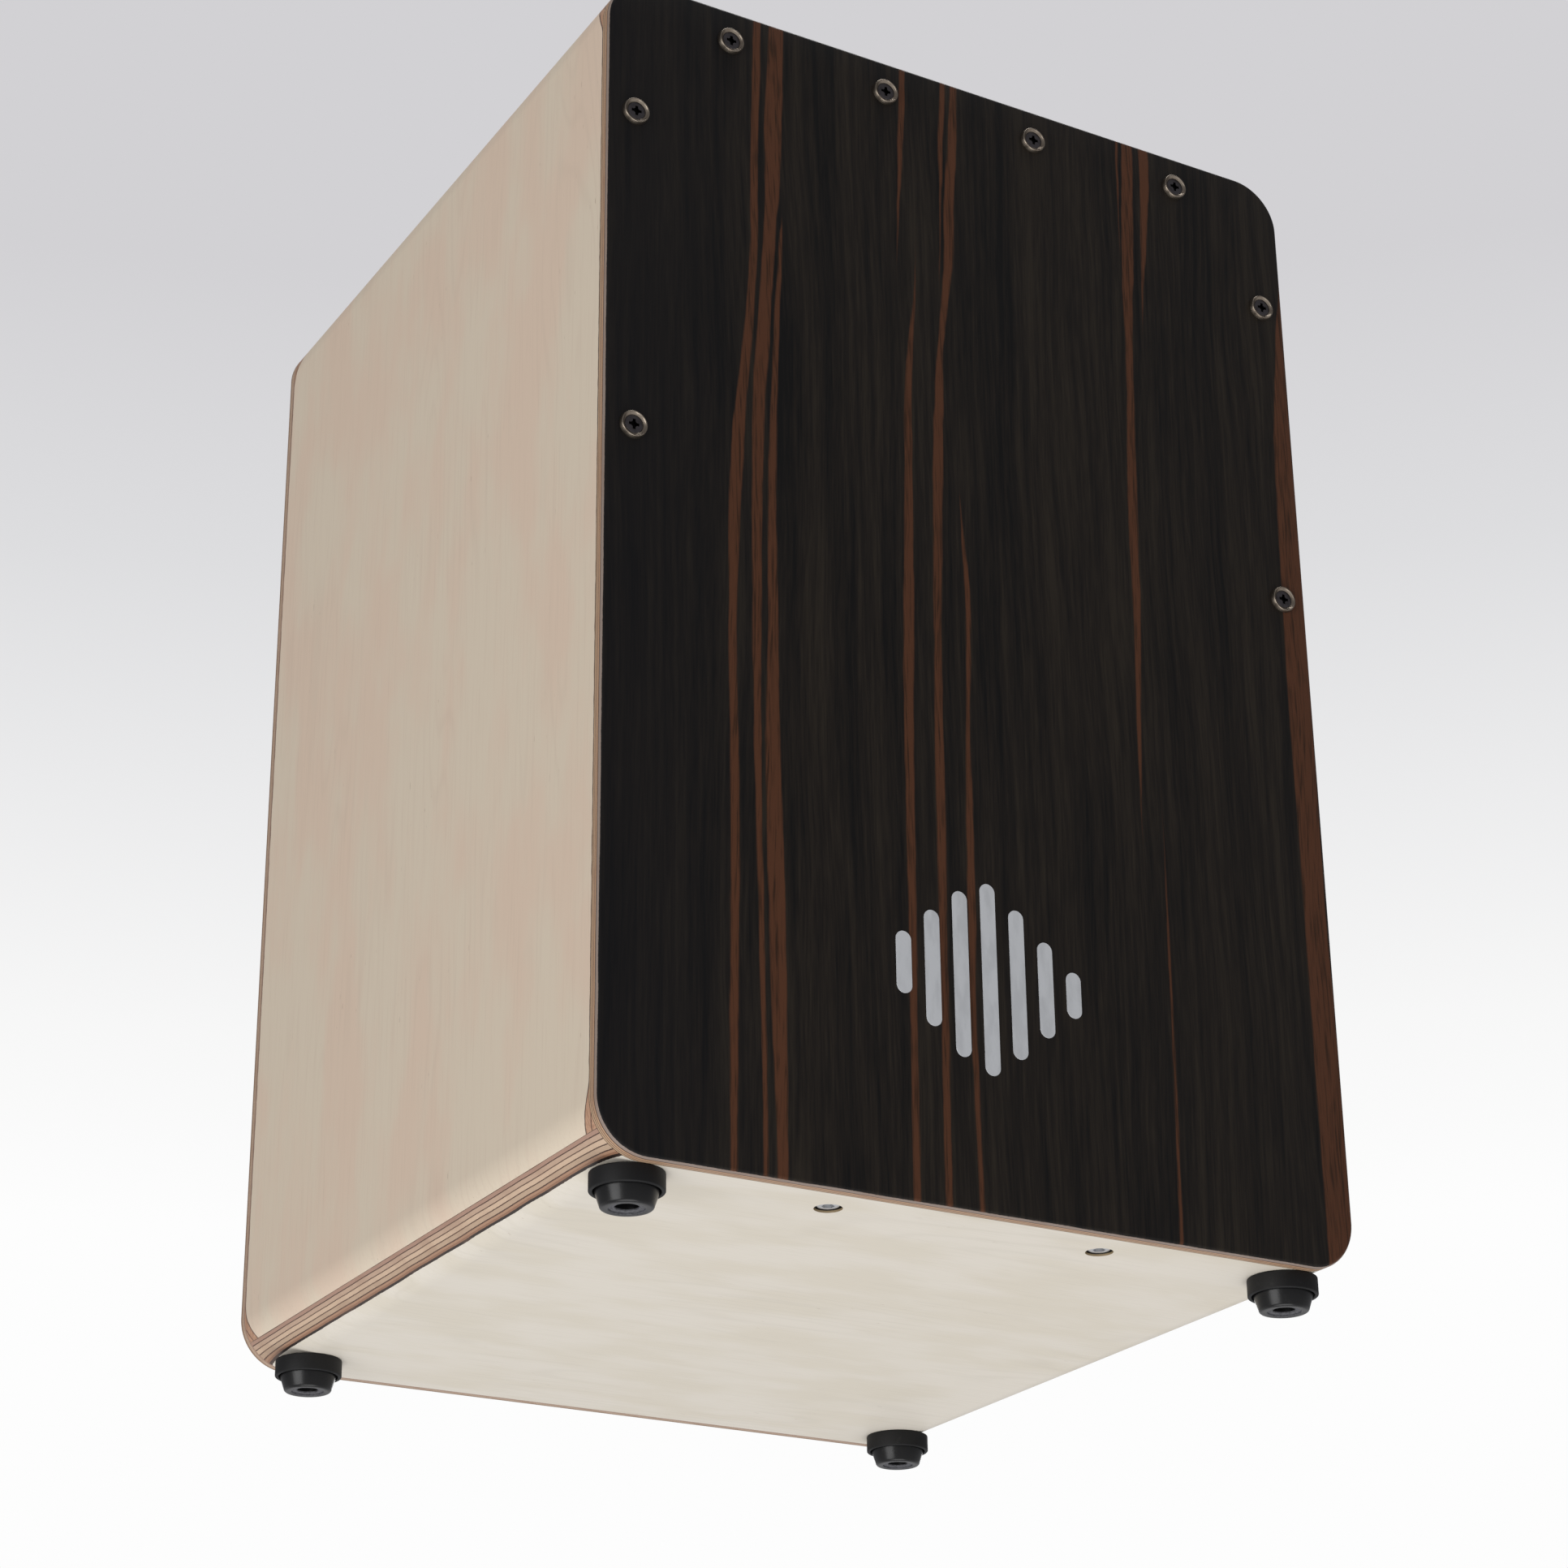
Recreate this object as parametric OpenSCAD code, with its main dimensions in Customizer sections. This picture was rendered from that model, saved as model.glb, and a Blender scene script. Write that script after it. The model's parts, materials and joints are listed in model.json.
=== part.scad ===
// Cajon: a plywood box drum with a screwed front plate, a round sound hole in the back,
// four rubber feet and two snare string sets whose tension is set from below.
// Frame: +Z up, the player's side (front plate) faces -Y, z = 0 is the floor.

/* [Box] */
// Width of the box over its side panels
body_w = 300; // [240:1:360]
// Depth of the box from the front plate's face to the back panel's face
body_d = 300; // [240:1:360]
// Height of the box without its feet
body_h = 450; // [380:1:540]
// Radius of the four long edges and of the front plate's corners
corner_r = 19; // [12:0.5:26]
// Thickness of the side, top and bottom panels
panel_t = 9; // [7.5:0.5:12]

/* [Front plate] */
// Thickness of the front plate
plate_t = 5; // [3:0.5:6]
// Thickness of the printed mark
mark_t = 0.3; // [0.2:0.1:0.6]
// Width of one bar of the mark
mark_bar_w = 6; // [4:0.5:8]
// Distance between two bars of the mark, centre to centre
mark_pitch = 11.5; // [9:0.5:14]
// Height of the mark's tallest bar
mark_h = 70; // [40:1:90]
// Height of the mark's centre above the underside of the box
mark_up = 84; // [60:1:120]

/* [Back panel] */
// Thickness of the back panel
back_t = 5; // [4:0.5:9]
// Diameter of the sound hole
sound_hole_d = 115; // [90:1:130]
// Height of the sound hole's centre above the underside of the box
sound_hole_up = 300; // [220:1:340]

/* [Battens] */
// Width of a batten, measured in from the panel it is glued to
batten_w = 12; // [11:0.5:18]
// Depth of a batten, measured in from the front plate or the back panel
batten_d = 10; // [8:0.5:10.5]

/* [Front plate screws] */
// Diameter of the screw shank
screw_d = 3.5; // [3:0.1:4]
// Diameter of the countersunk head
screw_head_d = 7; // [6:0.1:8]
// Length of the screw below the plate's face
screw_len = 13; // [11:0.5:14]
// Rise of the oval head above its cup washer
head_rise = 0.7; // [0.3:0.1:1]
// Width of one slot of the cross recess
recess_w = 0.9; // [0.6:0.1:1.2]
// Length of one slot of the cross recess
recess_len = 4.4; // [3:0.1:5]
// Outer diameter of the cup washer
washer_d = 10.5; // [9.5:0.1:12]
// Height of the cup washer
washer_h = 1.8; // [1:0.1:2.5]
// Thickness of the cup washer at its rim
washer_rim = 0.5; // [0.3:0.1:0.8]
// Distance of the side screws from the inner face of the side panels
side_screw_in = 2; // [2:0.5:6]
// Distance of the upper side screws from the plate's top edge
side_screw_high = 58; // [45:1:80]
// Distance of the lower side screws from the plate's top edge
side_screw_low = 187; // [120:1:220]
// Distance of the top screws from the inner face of the top panel
top_screw_in = 5; // [2:0.5:8]
// Distance between two top screws
top_screw_pitch = 66.6; // [50:0.1:72]

/* [Feet] */
// Outer diameter of the foot's cup
foot_d = 25; // [22:0.5:30]
// Height of a foot
foot_h = 12; // [10:0.5:16]
// Height of the foot's cup
cup_h = 6.4; // [5:0.1:8]
// Wall of the foot's cup
cup_wall = 1.4; // [1:0.1:2]
// Thickness of the base of the foot's cup
cup_base = 2; // [1.5:0.1:3]
// Gap between the cup's wall and the rubber
rubber_gap = 0.6; // [0.3:0.1:1]
// Diameter of the rubber where it meets the floor
rubber_tip_d = 18; // [16:0.1:19]
// Chamfer around the rubber's floor face
rubber_chamfer = 0.8; // [0.4:0.1:1.2]
// Diameter of the hole up the middle of the rubber
rubber_hole_d = 8; // [7.6:0.1:9]
// Diameter of the shallow dish in the rubber's floor face
rubber_dish_d = 12; // [10:0.1:13]
// Depth of the shallow dish
rubber_dish = 0.6; // [0.3:0.1:1]
// Distance of the feet from the side faces
foot_side = 20; // [18:0.5:30]
// Distance of the front feet from the front face
foot_front = 17; // [16:0.5:30]
// Distance of the rear feet from the back face
foot_rear = 22; // [16:0.5:30]
// Diameter of the foot screw's shank
foot_screw_d = 4; // [3:0.1:4.5]
// Diameter of the foot screw's head
foot_screw_head_d = 7; // [6:0.1:7.2]
// Height of the foot screw's head
foot_screw_head_h = 2.5; // [2:0.1:3]
// Diameter of the washer under the foot screw's head
foot_washer_d = 7.5; // [7.2:0.1:7.6]
// Thickness of that washer
foot_washer_t = 1; // [0.8:0.1:1.2]
// Thickness of the rubber between that washer and the cup
rubber_web = 3; // [2:0.1:4]
// Depth that the foot screw reaches into the bottom panel
foot_screw_grip = 7; // [5:0.1:7]

/* [String adjusters] */
// Distance of each adjuster from the middle of the box
adjuster_x = 54; // [45:1:62]
// Distance of the adjusters from the front face
adjuster_front = 19.7; // [19.7:0.1:30]
// Diameter of the adjuster's thread
adjuster_d = 5; // [4:0.1:5]
// Diameter of the adjuster's head
adjuster_head_d = 8; // [7.5:0.1:9]
// Height of the adjuster's head
adjuster_head_h = 3.1; // [2.5:0.1:3.5]
// Depth of the head below the underside of the box
adjuster_sink = 0.8; // [0.4:0.1:1.5]
// Width across the corners of the hexagon socket
adjuster_socket_d = 4.6; // [3.5:0.1:5]
// Depth of the hexagon socket
adjuster_socket = 2; // [1.5:0.1:2.4]
// Diameter of the recess around the head
adjuster_recess_d = 9.8; // [9.4:0.1:11]
// Diameter of the collar that keeps the adjuster in the bottom panel
collar_d = 8.4; // [7:0.1:8.6]
// Height of the collar
collar_h = 4; // [3:0.1:6]
// Width of the tension carriage
carriage_w = 26; // [24:1:34]
// Height of the tension carriage
carriage_h = 12; // [8:1:16]
// Height of the carriage's underside above the inside of the bottom panel
carriage_up = 25; // [20:1:30]
// Thickness of the carriage behind the adjuster's axis
carriage_back = 5; // [4:0.5:7]
// Free height kept above the carriage for its travel
carriage_travel = 15; // [8:1:20]
// Thickness of the guide bracket
bracket_t = 2; // [1.5:0.1:3]
// Length of the guide bracket's foot
bracket_foot = 20; // [16:1:30]
// Reach of the guide bracket's top in front of the adjuster's axis
bracket_top = 5; // [4:0.5:6]

/* [Snare strings] */
// Diameter of a string
string_d = 0.9; // [0.6:0.1:1.2]
// Distance of a string's axis behind the front plate
string_back = 1.6; // [1.5:0.1:2.5]
// Distance between the two strings of a set
string_pitch = 16; // [12:1:20]
// Diameter of the ball at each end of a string
ball_d = 2.6; // [2:0.1:2.8]
// Length of that ball
ball_h = 3; // [2:0.1:4]
// Gap between the top batten and the anchor's tongue
anchor_drop = 5; // [4:0.5:8]
// Width of the string anchor
anchor_w = 26; // [24:1:34]
// Distance between the two screws of an anchor or a guide bracket
bracket_screw_pitch = 14; // [10:1:16]
// Diameter of the small pan head screws
small_screw_d = 3; // [2.5:0.1:3.5]
// Diameter of their heads
small_head_d = 5.6; // [5:0.1:6]
// Height of their heads
small_head_h = 1.8; // [1.5:0.1:2.2]
// Depth that they reach into the wood
small_screw_grip = 7; // [5:0.1:7]

/* [Clearances] */
// Radial gap between a shank and its hole
fit_gap = 0.05; // [0.02:0.01:0.1]
// Gap between faces that move past each other
slide_gap = 0.3; // [0.2:0.05:0.4]
// Radial gap between a string and its hole
string_gap = 0.25; // [0.15:0.05:0.3]

/* [Hidden] */
$fn = 96;
proud = washer_h + head_rise;
front_y = (proud - body_d) / 2;
back_y = front_y + body_d;
plate_y = front_y + plate_t;
rear_y = back_y - back_t;
under_z = foot_h;
top_z = under_z + body_h;
mid_z = under_z + body_h / 2;
floor_z = under_z + panel_t;
ceiling_z = top_z - panel_t;
inner_x = body_w / 2 - panel_t;
cut = 1;
adjuster_y = front_y + adjuster_front;
recess_z = under_z + adjuster_sink + adjuster_head_h + 2 * fit_gap;
carriage_z = floor_z + carriage_up;
carriage_front = plate_y + slide_gap;
bracket_y = adjuster_y + carriage_back + slide_gap;
bracket_z = carriage_z + carriage_h + carriage_travel;
string_y = plate_y + string_back;
anchor_z = ceiling_z - batten_w - anchor_drop - bracket_t;
anchor_y = plate_y + batten_d;
thread_tip = 1;
mark_bars = [0.32, 0.6, 0.86, 1, 0.78, 0.5, 0.24];
top_screws = [for (i = [-1.5:1:1.5]) [i * top_screw_pitch, ceiling_z - top_screw_in]];
side_screws = [for (s = [-1, 1], d = [side_screw_high, side_screw_low])
    [s * (inner_x - side_screw_in), top_z - d]];
plate_screws = concat(top_screws, side_screws);
foot_x = body_w / 2 - foot_side;
feet_front_y = front_y + foot_front;
feet_rear_y = back_y - foot_rear;

// ---- helpers ----

// A box given by its lowest and highest corners.
module block(low, high) {
    translate(low) cube(high - low);
}

// Extrudes a drawing in x and z along y.
module along_y(y0, y1) {
    translate([0, y1, 0]) rotate([90, 0, 0]) linear_extrude(y1 - y0) children();
}

// Places a piece that is modelled along z so that its z points out of the front plate.
module on_front(place) {
    translate([place[0], front_y, place[1]]) rotate([90, 0, 0]) children();
}

module rounded_rect(w, h, r) {
    square([w - 2 * r, h], center = true);
    square([w, h - 2 * r], center = true);
    for (sx = [-1, 1], sz = [-1, 1])
        translate([sx * (w / 2 - r), sz * (h / 2 - r)]) circle(r);
}

// The box's outer shape between two depths.
module outer_shape(y0, y1) {
    translate([0, 0, mid_z]) along_y(y0, y1) rounded_rect(body_w, body_h, corner_r);
}

module hole_y(x, z, d, y0, y1) {
    translate([x, 0, z]) along_y(y0, y1) circle(d = d);
}

module hole_z(x, y, d, z0, z1) {
    translate([x, y, z0]) cylinder(h = z1 - z0, d = d);
}

// ---- plywood panels ----

module side_panel() {
    intersection() {
        outer_shape(plate_y, rear_y);
        block([-body_w / 2 - cut, front_y, floor_z], [-inner_x, back_y, ceiling_z]);
    }
}

module side_panel_left() {
    color("burlywood") side_panel();
}

module side_panel_right() {
    color("burlywood") mirror([1, 0, 0]) side_panel();
}

module top_panel() {
    color("burlywood") intersection() {
        outer_shape(plate_y, rear_y);
        block([-body_w, front_y, ceiling_z], [body_w, back_y, top_z + cut]);
    }
}

module bottom_panel() {
    color("wheat") difference() {
        intersection() {
            outer_shape(plate_y, rear_y);
            block([-body_w, front_y, under_z - cut], [body_w, back_y, floor_z]);
        }
        for (s = [-1, 1]) {
            hole_z(s * adjuster_x, adjuster_y, adjuster_d + 2 * fit_gap, under_z, floor_z + cut);
            hole_z(s * adjuster_x, adjuster_y, adjuster_recess_d, under_z - cut, recess_z);
            for (t = [-1, 1])
                hole_z(s * adjuster_x + t * bracket_screw_pitch / 2, bracket_foot_y(),
                    small_screw_d + 2 * fit_gap, floor_z - small_screw_grip, floor_z + cut);
            for (y = [feet_front_y, feet_rear_y])
                hole_z(s * foot_x, y, foot_screw_d + 2 * fit_gap,
                    under_z - cut, under_z + foot_screw_grip);
        }
    }
}

module back_panel() {
    color("burlywood") difference() {
        outer_shape(rear_y, back_y);
        hole_y(0, under_z + sound_hole_up, sound_hole_d, rear_y - cut, back_y + cut);
    }
}

module front_plate() {
    color([0.12, 0.09, 0.08]) difference() {
        outer_shape(front_y, plate_y);
        for (p = plate_screws)
            hole_y(p[0], p[1], screw_d + 2 * fit_gap, front_y - cut, plate_y + cut);
    }
}

// A plain printed mark: seven bars with round ends, like a sound level.
module front_mark() {
    color("lightgray") translate([0, 0, under_z + mark_up]) along_y(front_y - mark_t, front_y)
        for (i = [0:len(mark_bars) - 1]) {
            x = (i - (len(mark_bars) - 1) / 2) * mark_pitch;
            straight = mark_h * mark_bars[i] - mark_bar_w;
            translate([x, 0]) square([mark_bar_w, straight], center = true);
            for (s = [-1, 1]) translate([x, s * straight / 2]) circle(d = mark_bar_w);
        }
}

// ---- battens ----

// One batten frame, glued inside the panels between two depths.
module batten_across(z0, y0, y1) {
    block([-inner_x, y0, z0], [inner_x, y1, z0 + batten_w]);
}

module batten_upright(y0, y1) {
    block([-inner_x, y0, floor_z + batten_w], [-inner_x + batten_w, y1, ceiling_z - batten_w]);
}

module plate_screw_pilots() {
    for (p = plate_screws)
        hole_y(p[0], p[1], screw_d + 2 * fit_gap, front_y, front_y + screw_len);
}

module front_batten_top() {
    color("tan") difference() {
        batten_across(ceiling_z - batten_w, plate_y, plate_y + batten_d);
        plate_screw_pilots();
        for (s = [-1, 1], t = [-1, 1])
            hole_y(s * adjuster_x + t * bracket_screw_pitch / 2, ceiling_z - batten_w / 2,
                small_screw_d + 2 * fit_gap, anchor_y - small_screw_grip, anchor_y + cut);
    }
}

module front_batten_bottom() {
    color("tan") batten_across(floor_z, plate_y, plate_y + batten_d);
}

module front_batten_left() {
    color("tan") difference() {
        batten_upright(plate_y, plate_y + batten_d);
        plate_screw_pilots();
    }
}

module front_batten_right() {
    color("tan") difference() {
        mirror([1, 0, 0]) batten_upright(plate_y, plate_y + batten_d);
        plate_screw_pilots();
    }
}

module rear_batten_top() {
    color("tan") batten_across(ceiling_z - batten_w, rear_y - batten_d, rear_y);
}

module rear_batten_bottom() {
    color("tan") batten_across(floor_z, rear_y - batten_d, rear_y);
}

module rear_batten_left() {
    color("tan") batten_upright(rear_y - batten_d, rear_y);
}

module rear_batten_right() {
    color("tan") mirror([1, 0, 0]) batten_upright(rear_y - batten_d, rear_y);
}

// ---- front plate screws ----

module plate_screw() {
    difference() {
        rotate_extrude() polygon([
            [0, fit_gap - screw_len],
            [screw_d / 2, fit_gap - screw_len + thread_tip],
            [screw_d / 2, 0],
            [screw_head_d / 2, washer_h],
            [screw_head_d / 4, washer_h + head_rise * 0.8],
            [0, washer_h + head_rise]]);
        for (a = [0, 90]) rotate(a)
            translate([-recess_len / 2, -recess_w / 2, washer_h / 2])
                cube([recess_len, recess_w, washer_h + head_rise]);
    }
}

module cup_washer() {
    rotate_extrude() polygon([
        [screw_d / 2 + fit_gap, 0],
        [washer_d / 2, 0],
        [washer_d / 2, washer_rim],
        [(washer_d + 2 * screw_head_d) / 6 + washer_rim, washer_h],
        [screw_head_d / 2 + fit_gap, washer_h]]);
}

module front_plate_screws() {
    color("dimgray") for (p = plate_screws) on_front(p) plate_screw();
}

module front_plate_cup_washers() {
    color("gray") for (p = plate_screws) on_front(p) cup_washer();
}

// ---- feet ----

module foot_cup() {
    rotate_extrude() polygon([
        [foot_screw_d / 2 + fit_gap, foot_h - cup_base],
        [foot_screw_d / 2 + fit_gap, foot_h],
        [foot_d / 2, foot_h],
        [foot_d / 2, foot_h - cup_h],
        [foot_d / 2 - cup_wall, foot_h - cup_h],
        [foot_d / 2 - cup_wall, foot_h - cup_base]]);
}

module foot_rubber() {
    rotate_extrude() polygon([
        [foot_screw_d / 2 + fit_gap, foot_h - cup_base],
        [foot_d / 2 - cup_wall - rubber_gap, foot_h - cup_base],
        [foot_d / 2 - cup_wall - rubber_gap, foot_h - cup_h],
        [rubber_tip_d / 2, rubber_chamfer],
        [rubber_tip_d / 2 - rubber_chamfer, 0],
        [rubber_dish_d / 2, 0],
        [rubber_dish_d / 2, rubber_dish],
        [rubber_hole_d / 2, rubber_dish],
        [rubber_hole_d / 2, foot_ledge_z()],
        [foot_screw_d / 2 + fit_gap, foot_ledge_z()]]);
}

module foot_screw() {
    head_z = foot_ledge_z() - foot_washer_t;
    difference() {
        union() {
            translate([0, 0, head_z - foot_screw_head_h])
                cylinder(h = foot_screw_head_h, d = foot_screw_head_d);
            translate([0, 0, head_z])
                cylinder(h = under_z + foot_screw_grip - fit_gap - head_z, d = foot_screw_d);
        }
        for (a = [0, 90]) rotate(a)
            translate([-recess_len / 2, -recess_w / 2, head_z - foot_screw_head_h - cut])
                cube([recess_len, recess_w, foot_screw_head_h / 2 + cut]);
    }
}

module foot_washer() {
    translate([0, 0, foot_ledge_z() - foot_washer_t]) difference() {
        cylinder(h = foot_washer_t, d = foot_washer_d);
        translate([0, 0, -cut])
            cylinder(h = foot_washer_t + 2 * cut, d = foot_screw_d + 2 * fit_gap);
    }
}

module each_foot() {
    for (s = [-1, 1], y = [feet_front_y, feet_rear_y]) translate([s * foot_x, y, 0]) children();
}

module foot_cup_front_left() {
    color("black") translate([-foot_x, feet_front_y, 0]) foot_cup();
}

module foot_cup_front_right() {
    color("black") translate([foot_x, feet_front_y, 0]) foot_cup();
}

module foot_cup_rear_left() {
    color("black") translate([-foot_x, feet_rear_y, 0]) foot_cup();
}

module foot_cup_rear_right() {
    color("black") translate([foot_x, feet_rear_y, 0]) foot_cup();
}

module foot_rubber_front_left() {
    color([0.1, 0.1, 0.1]) translate([-foot_x, feet_front_y, 0]) foot_rubber();
}

module foot_rubber_front_right() {
    color([0.1, 0.1, 0.1]) translate([foot_x, feet_front_y, 0]) foot_rubber();
}

module foot_rubber_rear_left() {
    color([0.1, 0.1, 0.1]) translate([-foot_x, feet_rear_y, 0]) foot_rubber();
}

module foot_rubber_rear_right() {
    color([0.1, 0.1, 0.1]) translate([foot_x, feet_rear_y, 0]) foot_rubber();
}

module foot_screws() {
    color("silver") each_foot() foot_screw();
}

module foot_washers() {
    color("silver") each_foot() foot_washer();
}

// ---- string adjusters, one set on the left that is mirrored to the right ----

module adjuster_screw() {
    head_z = under_z + adjuster_sink;
    translate([-adjuster_x, adjuster_y, 0]) difference() {
        union() {
            translate([0, 0, head_z]) cylinder(h = adjuster_head_h, d = adjuster_head_d);
            translate([0, 0, head_z + adjuster_head_h])
                cylinder(h = bracket_z + bracket_t + thread_tip - head_z - adjuster_head_h,
                    d = adjuster_d);
        }
        translate([0, 0, head_z - cut])
            cylinder(h = adjuster_socket + cut, d = adjuster_socket_d, $fn = 6);
    }
}

module adjuster_collar() {
    translate([-adjuster_x, adjuster_y, floor_z + slide_gap]) difference() {
        cylinder(h = collar_h, d = collar_d);
        translate([0, 0, -cut]) cylinder(h = collar_h + 2 * cut, d = adjuster_d + 2 * fit_gap);
    }
}

module tension_carriage() {
    difference() {
        block([-adjuster_x - carriage_w / 2, carriage_front, carriage_z],
            [-adjuster_x + carriage_w / 2, adjuster_y + carriage_back, carriage_z + carriage_h]);
        hole_z(-adjuster_x, adjuster_y, adjuster_d + 2 * fit_gap,
            carriage_z - cut, carriage_z + carriage_h + cut);
        for (t = [-1, 1])
            hole_z(-adjuster_x + t * string_pitch / 2, string_y, string_d + 2 * string_gap,
                carriage_z - cut, carriage_z + carriage_h + cut);
    }
}

// A bent steel strip: a foot on the bottom panel, an upright that keeps the carriage
// from turning, and a top that holds the adjuster's tip.
module carriage_guide() {
    x0 = -adjuster_x - carriage_w / 2;
    x1 = -adjuster_x + carriage_w / 2;
    difference() {
        union() {
            block([x0, bracket_y, floor_z], [x1, bracket_y + bracket_foot, floor_z + bracket_t]);
            block([x0, bracket_y, floor_z], [x1, bracket_y + bracket_t, bracket_z + bracket_t]);
            block([x0, adjuster_y - bracket_top, bracket_z],
                [x1, bracket_y + bracket_t, bracket_z + bracket_t]);
        }
        hole_z(-adjuster_x, adjuster_y, adjuster_d + 2 * fit_gap,
            bracket_z - cut, bracket_z + bracket_t + cut);
        for (t = [-1, 1])
            hole_z(-adjuster_x + t * bracket_screw_pitch / 2, bracket_foot_y(),
                small_screw_d + 2 * fit_gap, floor_z - cut, floor_z + bracket_t + cut);
    }
}

// A steel angle behind the top batten whose tongue holds the strings' upper ends.
module string_anchor() {
    x0 = -adjuster_x - anchor_w / 2;
    x1 = -adjuster_x + anchor_w / 2;
    difference() {
        union() {
            block([x0, anchor_y, anchor_z], [x1, anchor_y + bracket_t, ceiling_z]);
            block([x0, plate_y + slide_gap, anchor_z],
                [x1, anchor_y + bracket_t, anchor_z + bracket_t]);
        }
        for (t = [-1, 1]) {
            hole_y(-adjuster_x + t * bracket_screw_pitch / 2, ceiling_z - batten_w / 2,
                small_screw_d + 2 * fit_gap, anchor_y - cut, anchor_y + bracket_t + cut);
            hole_z(-adjuster_x + t * string_pitch / 2, string_y, string_d + 2 * string_gap,
                anchor_z - cut, anchor_z + bracket_t + cut);
        }
    }
}

// Two strings with a ball at each end, from under the carriage to above the anchor's tongue.
module snare_strings() {
    low_z = carriage_z - ball_h;
    high_z = anchor_z + bracket_t + ball_h;
    for (t = [-1, 1]) translate([-adjuster_x + t * string_pitch / 2, string_y, 0]) {
        translate([0, 0, low_z]) cylinder(h = high_z - low_z, d = string_d, $fn = 24);
        translate([0, 0, low_z]) cylinder(h = ball_h, d = ball_d);
        translate([0, 0, high_z - ball_h]) cylinder(h = ball_h, d = ball_d);
    }
}

// A small pan head screw: z = 0 is under its head, and its shank points down.
module small_screw(length) {
    difference() {
        union() {
            translate([0, 0, -length]) cylinder(h = length, d = small_screw_d);
            cylinder(h = small_head_h, d = small_head_d);
        }
        for (a = [0, 90]) rotate(a)
            translate([-small_head_d / 3, -recess_w / 2, small_head_h / 3])
                cube([small_head_d / 1.5, recess_w, small_head_h]);
    }
}

module adjuster_screw_left() {
    color("silver") adjuster_screw();
}

module adjuster_screw_right() {
    color("silver") mirror([1, 0, 0]) adjuster_screw();
}

module adjuster_collar_left() {
    color("silver") adjuster_collar();
}

module adjuster_collar_right() {
    color("silver") mirror([1, 0, 0]) adjuster_collar();
}

module tension_carriage_left() {
    color("goldenrod") tension_carriage();
}

module tension_carriage_right() {
    color("goldenrod") mirror([1, 0, 0]) tension_carriage();
}

module carriage_guide_left() {
    color("slategray") carriage_guide();
}

module carriage_guide_right() {
    color("slategray") mirror([1, 0, 0]) carriage_guide();
}

module guide_screws() {
    color("silver") for (s = [-1, 1], t = [-1, 1])
        translate([s * adjuster_x + t * bracket_screw_pitch / 2, bracket_foot_y(),
            floor_z + bracket_t])
            small_screw(bracket_t + small_screw_grip - fit_gap);
}

module string_anchor_left() {
    color("slategray") string_anchor();
}

module string_anchor_right() {
    color("slategray") mirror([1, 0, 0]) string_anchor();
}

module anchor_screws() {
    color("silver") for (s = [-1, 1], t = [-1, 1])
        translate([s * adjuster_x + t * bracket_screw_pitch / 2, anchor_y + bracket_t,
            ceiling_z - batten_w / 2])
            rotate([-90, 0, 0]) small_screw(bracket_t + small_screw_grip - fit_gap);
}

module snare_strings_left() {
    color("lightsteelblue") snare_strings();
}

module snare_strings_right() {
    color("lightsteelblue") mirror([1, 0, 0]) snare_strings();
}

// ---- derived places that several pieces share ----

// Depth of the guide bracket's screws, in the middle of its foot.
function bracket_foot_y() = bracket_y + (bracket_foot + bracket_t) / 2;

// Height of the ledge in the foot's rubber that the washer bears on.
function foot_ledge_z() = foot_h - cup_base - rubber_web;

side_panel_left();
side_panel_right();
top_panel();
bottom_panel();
back_panel();
front_plate();
front_mark();
front_batten_top();
front_batten_bottom();
front_batten_left();
front_batten_right();
rear_batten_top();
rear_batten_bottom();
rear_batten_left();
rear_batten_right();
front_plate_screws();
front_plate_cup_washers();
foot_cup_front_left();
foot_cup_front_right();
foot_cup_rear_left();
foot_cup_rear_right();
foot_rubber_front_left();
foot_rubber_front_right();
foot_rubber_rear_left();
foot_rubber_rear_right();
foot_screws();
foot_washers();
adjuster_screw_left();
adjuster_screw_right();
adjuster_collar_left();
adjuster_collar_right();
tension_carriage_left();
tension_carriage_right();
carriage_guide_left();
carriage_guide_right();
guide_screws();
string_anchor_left();
string_anchor_right();
anchor_screws();
snare_strings_left();
snare_strings_right();
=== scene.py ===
import json
import math

import bmesh
import bpy
from bpy.props import FloatProperty, FloatVectorProperty, PointerProperty
from mathutils import Matrix, Vector


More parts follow.
